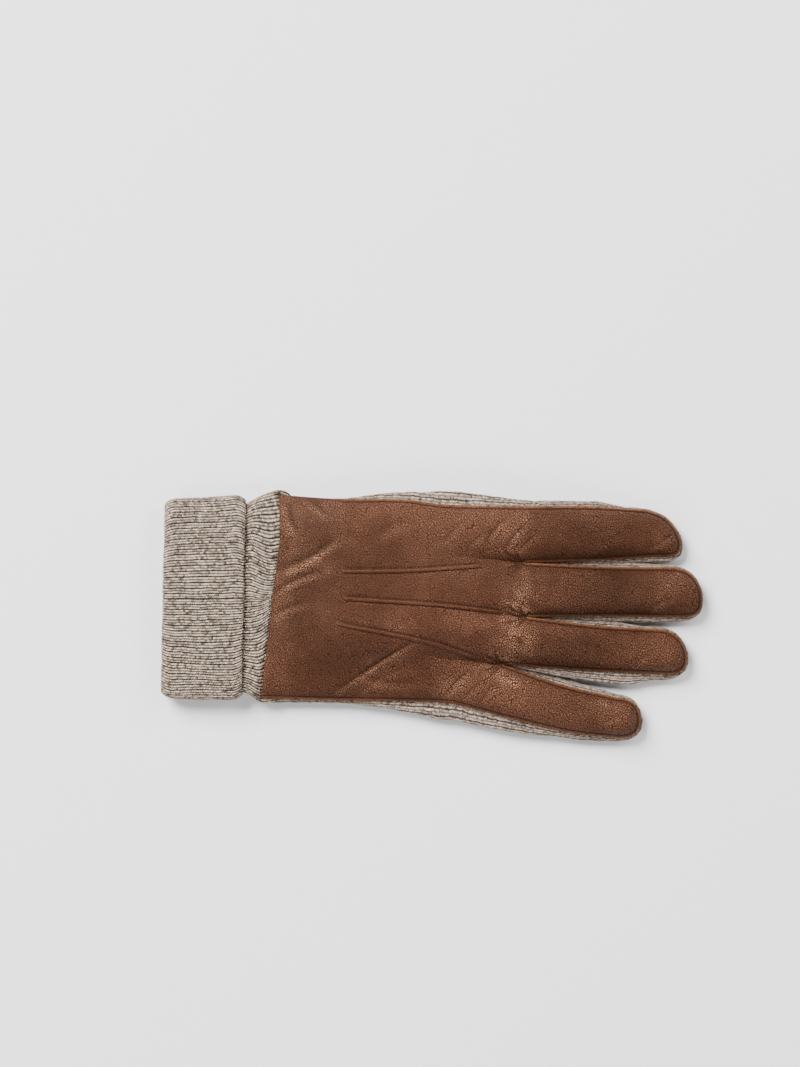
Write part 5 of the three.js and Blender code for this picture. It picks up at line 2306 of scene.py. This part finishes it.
@dataclass
class Thumb:
    """The folded thumb: leather on its back and front with a knit wall round it."""

    finishes: Finishes
    rows: int = 56
    tip_rows: int = 8
    columns: int = 20

    def net(self) -> Net:
        """Spread the thumb's net from its base seam to its rounded tip.

        Returns:
            The net. It has only what the thumb reads.
        """
        upper, lower = Curve(THUMB_UPPER), Curve(THUMB_LOWER)
        ends = (np.array(dot) for dot in (THUMB_UPPER[-1], THUMB_LOWER[-1], THUMB_APEX))
        limb = Limb(upper, lower, *ends)
        w = np.linspace(0, 1, self.columns + 1)
        u = 1 - 2 * w
        v = np.linspace(0, 1, self.rows + 1)
        straight = mix(upper.at(v)[:, None], lower.at(v)[:, None], w[:, None])
        bow = (1 - u**2)[None, :] * ((1 - v) ** 3)[:, None]
        shaft = straight + bow[..., None] * np.array(THUMB_BOW)
        tip, tip_radius = tip_grid(limb, u, np.linspace(0, 1, self.tip_rows + 1)[1:])
        xy = np.concatenate([shaft, tip])
        rows, columns = xy.shape[:2]
        numbers = np.arange(rows * columns).reshape(rows, columns)
        outline = [*numbers[:, 0], *numbers[-1, 1:], *numbers[-2::-1, -1]]
        blank = np.zeros(rows * columns)
        return Net(
            xy=xy.reshape(-1, 2),
            radius=np.concatenate([np.tile(np.abs(u), len(shaft)), tip_radius.ravel()]),
            palm_across=blank,
            fingerness=blank,
            reach=np.repeat(np.concatenate([v, np.ones(len(tip))]), columns),
            quads=grid_quads(numbers),
            outline=np.array(outline),
            run_ends=[len(outline) - 1],
        )

    def build(self) -> None:
        """Make the three pieces."""
        net = self.net()
        ceiling = lift(net.xy) - THUMB_GAP
        front = ceiling - THUMB_EDGE_DROP * net.radius**4
        depth = smoothstep(0, THUMB_FULL_DEPTH, net.reach)
        lying = THUMB_EDGE_LIFT * smoothstep(*THUMB_LYING, net.radius)
        attached = ceiling - LEATHER
        early = 1 - smoothstep(0, THUMB_WALL_FROM, net.reach)
        rim = mix(lying, attached, early * net.radius**2)
        under = np.minimum(mix(attached, rim, depth), attached)
        edge = distance_to_line(net.xy, net.xy[net.outline])[0]
        carried = finish_values(edge, smoothstep(*THUMB_SEAM, net.reach))
        soft = unevenness(net.xy, THUMB_RIPPLES, upwards=True) * smoothstep(*THUMB_RIPPLE_EDGE, edge)
        back = leather_panel(net, net.quads, np.minimum(under + soft, attached), False, carried)
        make_piece("thumb_back_skin", back, self.finishes.leather, ["thumb_back_leather"])
        from_row = (net.reach[net.quads].min(axis=1)) > THUMB_FRONT_FROM
        panel = leather_panel(net, net.quads[from_row], front, True, carried)
        make_piece("thumb_front_skin", panel, self.finishes.leather, ["thumb_front_leather"])
        self.build_wall(net, ceiling, front, under)

    def build_wall(self, net: Net, ceiling: np.ndarray, front: np.ndarray, under: np.ndarray) -> None:
        """Make the knit wall round the thumb.

        Args:
            net: the thumb's net.
            ceiling: the highest that the thumb may reach.
            front: the height of its front's outer face.
            under: the height of its back's outer face.
        """
        run = net.outline[net.reach[net.outline] >= THUMB_WALL_FROM]
        top = net.xy[run]
        covered = net.reach[run] > THUMB_FRONT_FROM - THUMB_WALL_LAP
        top_z = np.where(covered, front[run] - LEATHER, ceiling[run]) - KNIT_CLEARANCE
        foot_z = under[run] + LEATHER + KNIT_CLEARANCE
        distance = run_along(top)
        even = np.linspace(0, distance[-1], round(distance[-1] / (2 * WALL_STATION)))
        edge, high_z, low_z = (read_along(values, distance, even) for values in (top, top_z, foot_z))
        swell = np.full(len(edge), THUMB_SWELL)
        stations = WallRun(edge, edge, outward(edge, 2), high_z, low_z, swell, even)
        data = knit_wall(stations, THUMB_RIBS)
        make_piece("thumb_wall_knit", data, self.finishes.side_knit, ["thumb_knit_wall"])


def bulged(value: np.ndarray, power: np.ndarray | float) -> np.ndarray:
    """Raise the size of a value to a power and keep its sign, which turns an ellipse into a fuller one.

    Args:
        value: the values, from -1 to 1.
        power: the power, under 1 for a fuller shape.

    Returns:
        The new values.
    """
    return np.sign(value) * np.abs(value) ** power


@dataclass
class RibTube:
    """A tube of rib knit with a flattened section, swept along a path in its own wall."""

    name: str
    girths: Sequence[Girth]
    path: Sequence[Bend]
    ribs: int
    step: float
    depth: float
    samples: int = 8
    closed: bool = False
    under_leather: bool = False
    shear: float = 0.0
    fibres: int = 0

    def sized(self, x: np.ndarray) -> np.ndarray:
        """Read the outer face's four limits, smoothed along the tube.

        Args:
            x: the places along it.

        Returns:
            A row of limits for each place.
        """
        fine = np.arange(self.girths[0].x - GIRTH_MARGIN, self.girths[-1].x + GIRTH_MARGIN, GIRTH_STEP)
        places, *columns = np.array(self.girths).T
        window = np.hanning(GIRTH_WINDOW)
        window /= window.sum()
        smooth = []
        for column in columns:
            padded = np.pad(np.interp(fine, places, column), GIRTH_WINDOW // 2, mode="edge")
            smooth.append(np.interp(x, fine, np.convolve(padded, window, mode="valid")))
        return np.column_stack(smooth)

    def stations(self) -> tuple[np.ndarray, np.ndarray, np.ndarray]:
        """Step along the path.

        Returns:
            The stations' places along X, their depths in the wall, and the distance run.
        """
        dots = [Dot(bend.x, bend.depth) for bend in self.path]
        curve = Curve(dots)
        count = round(curve.length / self.step)
        share = np.linspace(0, 1, count)
        x, depth = curve.at(share).T
        return x, depth, share * curve.length

    def build(self) -> MeshData:
        """Make the mesh.

        Returns:
            The mesh, with its stitch map.
        """
        turn = np.linspace(0, 2 * math.pi, SECTION_POINTS)
        shape = np.column_stack(
            [size * bulged(wave(turn), 2 / CUFF_POWER) for wave, size in zip((np.cos, np.sin), SECTION_HALF)]
        )
        arc = run_along(shape)
        count = self.ribs * self.samples
        u = np.arange(count) / self.samples
        x, depth, run = self.stations()
        place = np.column_stack([np.repeat(u, len(x)) * arc[-1] / self.ribs, np.tile(x, count)])
        wander, wave = unevenness(place, RIB_WANDER), unevenness(place, RIB_WAVE)
        shape_u = (u[:, None] + wander.reshape(count, -1)) % self.ribs
        angle = np.interp(shape_u * arc[-1] / self.ribs, arc, turn)
        limits = self.sized(x)
        middle_y, half_y = (limits[:, 0] + limits[:, 1]) / 2, (limits[:, 0] - limits[:, 1]) / 2
        middle_z, half_z = (limits[:, 2] + limits[:, 3]) / 2, (limits[:, 2] - limits[:, 3]) / 2
        rib = np.abs(2 * (u % 1) - 1)[:, None]
        aside = np.abs(2 * rib - 1)
        rounded = 1 - np.sqrt(1 - WALE_FULLNESS * aside**WALE_POWER)
        valley = self.depth * np.where(rib > 0.5, 1.0, WALE_SPLIT) * rounded
        sunk = np.maximum(valley + RIB_WAVE_DEPTH * (wave.reshape(count, -1) + RIB_WAVE_LEVEL), 0.0)
        along_x, along_depth = np.gradient(x), np.gradient(depth)
        pace = np.maximum(np.hypot(along_x, along_depth), TINY)
        inward = depth + sunk * -along_x / pace
        station = x + sunk * along_depth / pace
        cosine, sine = np.cos(angle), np.sin(angle)
        rounder = smoothstep(*WRIST_ROUNDER, x) if self.under_leather else 0.0
        power = 2 / mix(CUFF_POWER, WRIST_POWER, rounder)
        y = middle_y + (half_y - inward) * bulged(cosine, power)
        station = station + self.shear * (y - CUFF_MIDDLE_Y)
        z = middle_z + (half_z - inward) * bulged(sine, power)
        if self.under_leather:
            whole = middle_z + (half_z - depth) * np.abs(sine) ** power
            before = np.interp(y, *wrist_line()) - station
            beside = np.maximum(np.maximum(y - WRIST[0].y, WRIST[-1].y - y), 0.0)
            free = WRIST_SLOPE * np.maximum(before, 0.0) + CORNER_SLOPE * beside
            z -= (sine > 0) * np.maximum(0.0, whole - wrist_ceiling(y) - free)
        points = np.stack([station, y, np.maximum(z, 0.0)], axis=-1)
        numbers = np.arange(points[..., 0].size).reshape(count, len(x))
        if self.closed:
            numbers = np.column_stack([numbers, numbers[:, :1]])
        faces = grid_quads(numbers, closed=True)
        cells = np.stack(np.broadcast_arrays(u[:, None], run[None, :] / STITCH), axis=-1)
        return MeshData(points.reshape(-1, 3), faces.tolist(), {}, cells.reshape(-1, 2), self.ribs)


@dataclass
class Cuff:
    """The rib cuff: the tube that leaves the hand, and its end turned up once over itself."""

    finishes: Finishes

    def build(self) -> None:
        """Make the turned part, the part at the wrist and the inside."""
        tubes = (
            RibTube(
                "turned_cuff",
                CUFF_GIRTHS,
                CUFF_PATH,
                CUFF_RIBS,
                step=0.5,
                depth=0.8,
                shear=CUFF_SHEAR,
                fibres=6500,
            ),
            RibTube(
                "wrist_rib",
                WRIST_GIRTHS,
                WRIST_PATH,
                WRIST_RIBS,
                step=0.5,
                depth=0.7,
                closed=True,
                under_leather=True,
                fibres=2400,
            ),
            RibTube("cuff_inside", CUFF_GIRTHS, CUFF_LINING_PATH, CUFF_RIBS, step=1.2, depth=0.6, samples=5),
        )
        for number, tube in enumerate(tubes):
            data = tube.build()
            make_piece(tube.name, data, self.finishes.rib_knit, ["rib_cuff"])
            if tube.fibres:
                fuzz = loose_fibres(data, tube.fibres, CUFF_FIBRE_SEED + number, WRIST[-1].x)
                make_piece(f"{tube.name}_fibres", fuzz, self.finishes.fibre)


@dataclass
class Lamp:
    """A soft light: where it stands, what it faces, its size and its strength."""

    name: str
    place: tuple[float, float, float]
    size: float
    power: float


@dataclass
class Studio:
    """The pale floor, the soft light and the camera straight above."""

    floor: FloorFinish = FloorFinish()
    floor_size: float = 6.0
    lamps: tuple[Lamp, ...] = (
        Lamp("key", (-1.7, 1.9, 2.3), 2.1, 450.0),
        Lamp("far_right", (2.3, 1.6, 2.2), 2.2, 80.0),
        Lamp("near_left", (-2.2, -1.9, 2.2), 2.2, 80.0),
        Lamp("near_right", (1.9, -2.2, 2.4), 2.2, 50.0),
    )
    sky: float = 0.15
    lens: float = 135.0
    farthest: float = 20.0
    eye: tuple[float, float, float] = (-0.0164, 0.0429, 2.094)

    def build(self) -> None:
        """Set up the studio."""
        bpy.ops.mesh.primitive_plane_add(size=self.floor_size)
        floor = bpy.context.object
        floor.name = "floor"
        floor.data.materials.append(self.floor.build())
        for lamp in self.lamps:
            light = bpy.data.lights.new(lamp.name, "AREA")
            light.shape = "DISK"
            light.size = lamp.size
            light.energy = lamp.power
            stand = bpy.data.objects.new(lamp.name, light)
            stand.location = lamp.place
            stand.rotation_euler = Vector(lamp.place).to_track_quat("Z", "Y").to_euler()
            bpy.context.scene.collection.objects.link(stand)
        world = bpy.data.worlds.new("studio")
        world.use_nodes = True
        background = world.node_tree.nodes["Background"]
        background.inputs["Color"].default_value = (1.0, 1.0, 1.0, 1.0)
        background.inputs["Strength"].default_value = self.sky
        bpy.context.scene.world = world
        lens = bpy.data.cameras.new("camera")
        lens.lens = self.lens
        lens.clip_end = self.farthest
        camera = bpy.data.objects.new("camera", lens)
        camera.location = self.eye
        bpy.context.scene.collection.objects.link(camera)
        bpy.context.scene.camera = camera


def main() -> None:
    """Build the glove and its studio."""
    logging.basicConfig(level=logging.INFO, format="%(name)s: %(message)s")
    finishes = Finishes(
        leather=LeatherFinish().build(),
        side_knit=KnitFinish(
            "side_knit",
            light=(210, 189, 172),
            groove=(40, 29, 23),
            marl=0.5,
            rows=0.2,
            bridge=0.08,
            split=0.7,
            wander=0.16,
        ).build(),
        rib_knit=KnitFinish("rib_knit_yarn").build(),
        thread=ThreadFinish().build(),
        fibre=ThreadFinish("loose_fibre", colour=(142, 122, 105), lit=(226, 210, 194)).build(),
    )
    BackLeather(finishes).build()
    PalmLeather(finishes).build()
    KnitSides(finishes).build()
    Thumb(finishes).build()
    Cuff(finishes).build()
    Studio().build()


if __name__ == "__main__":
    main()
    bpy.context.view_layer.update()
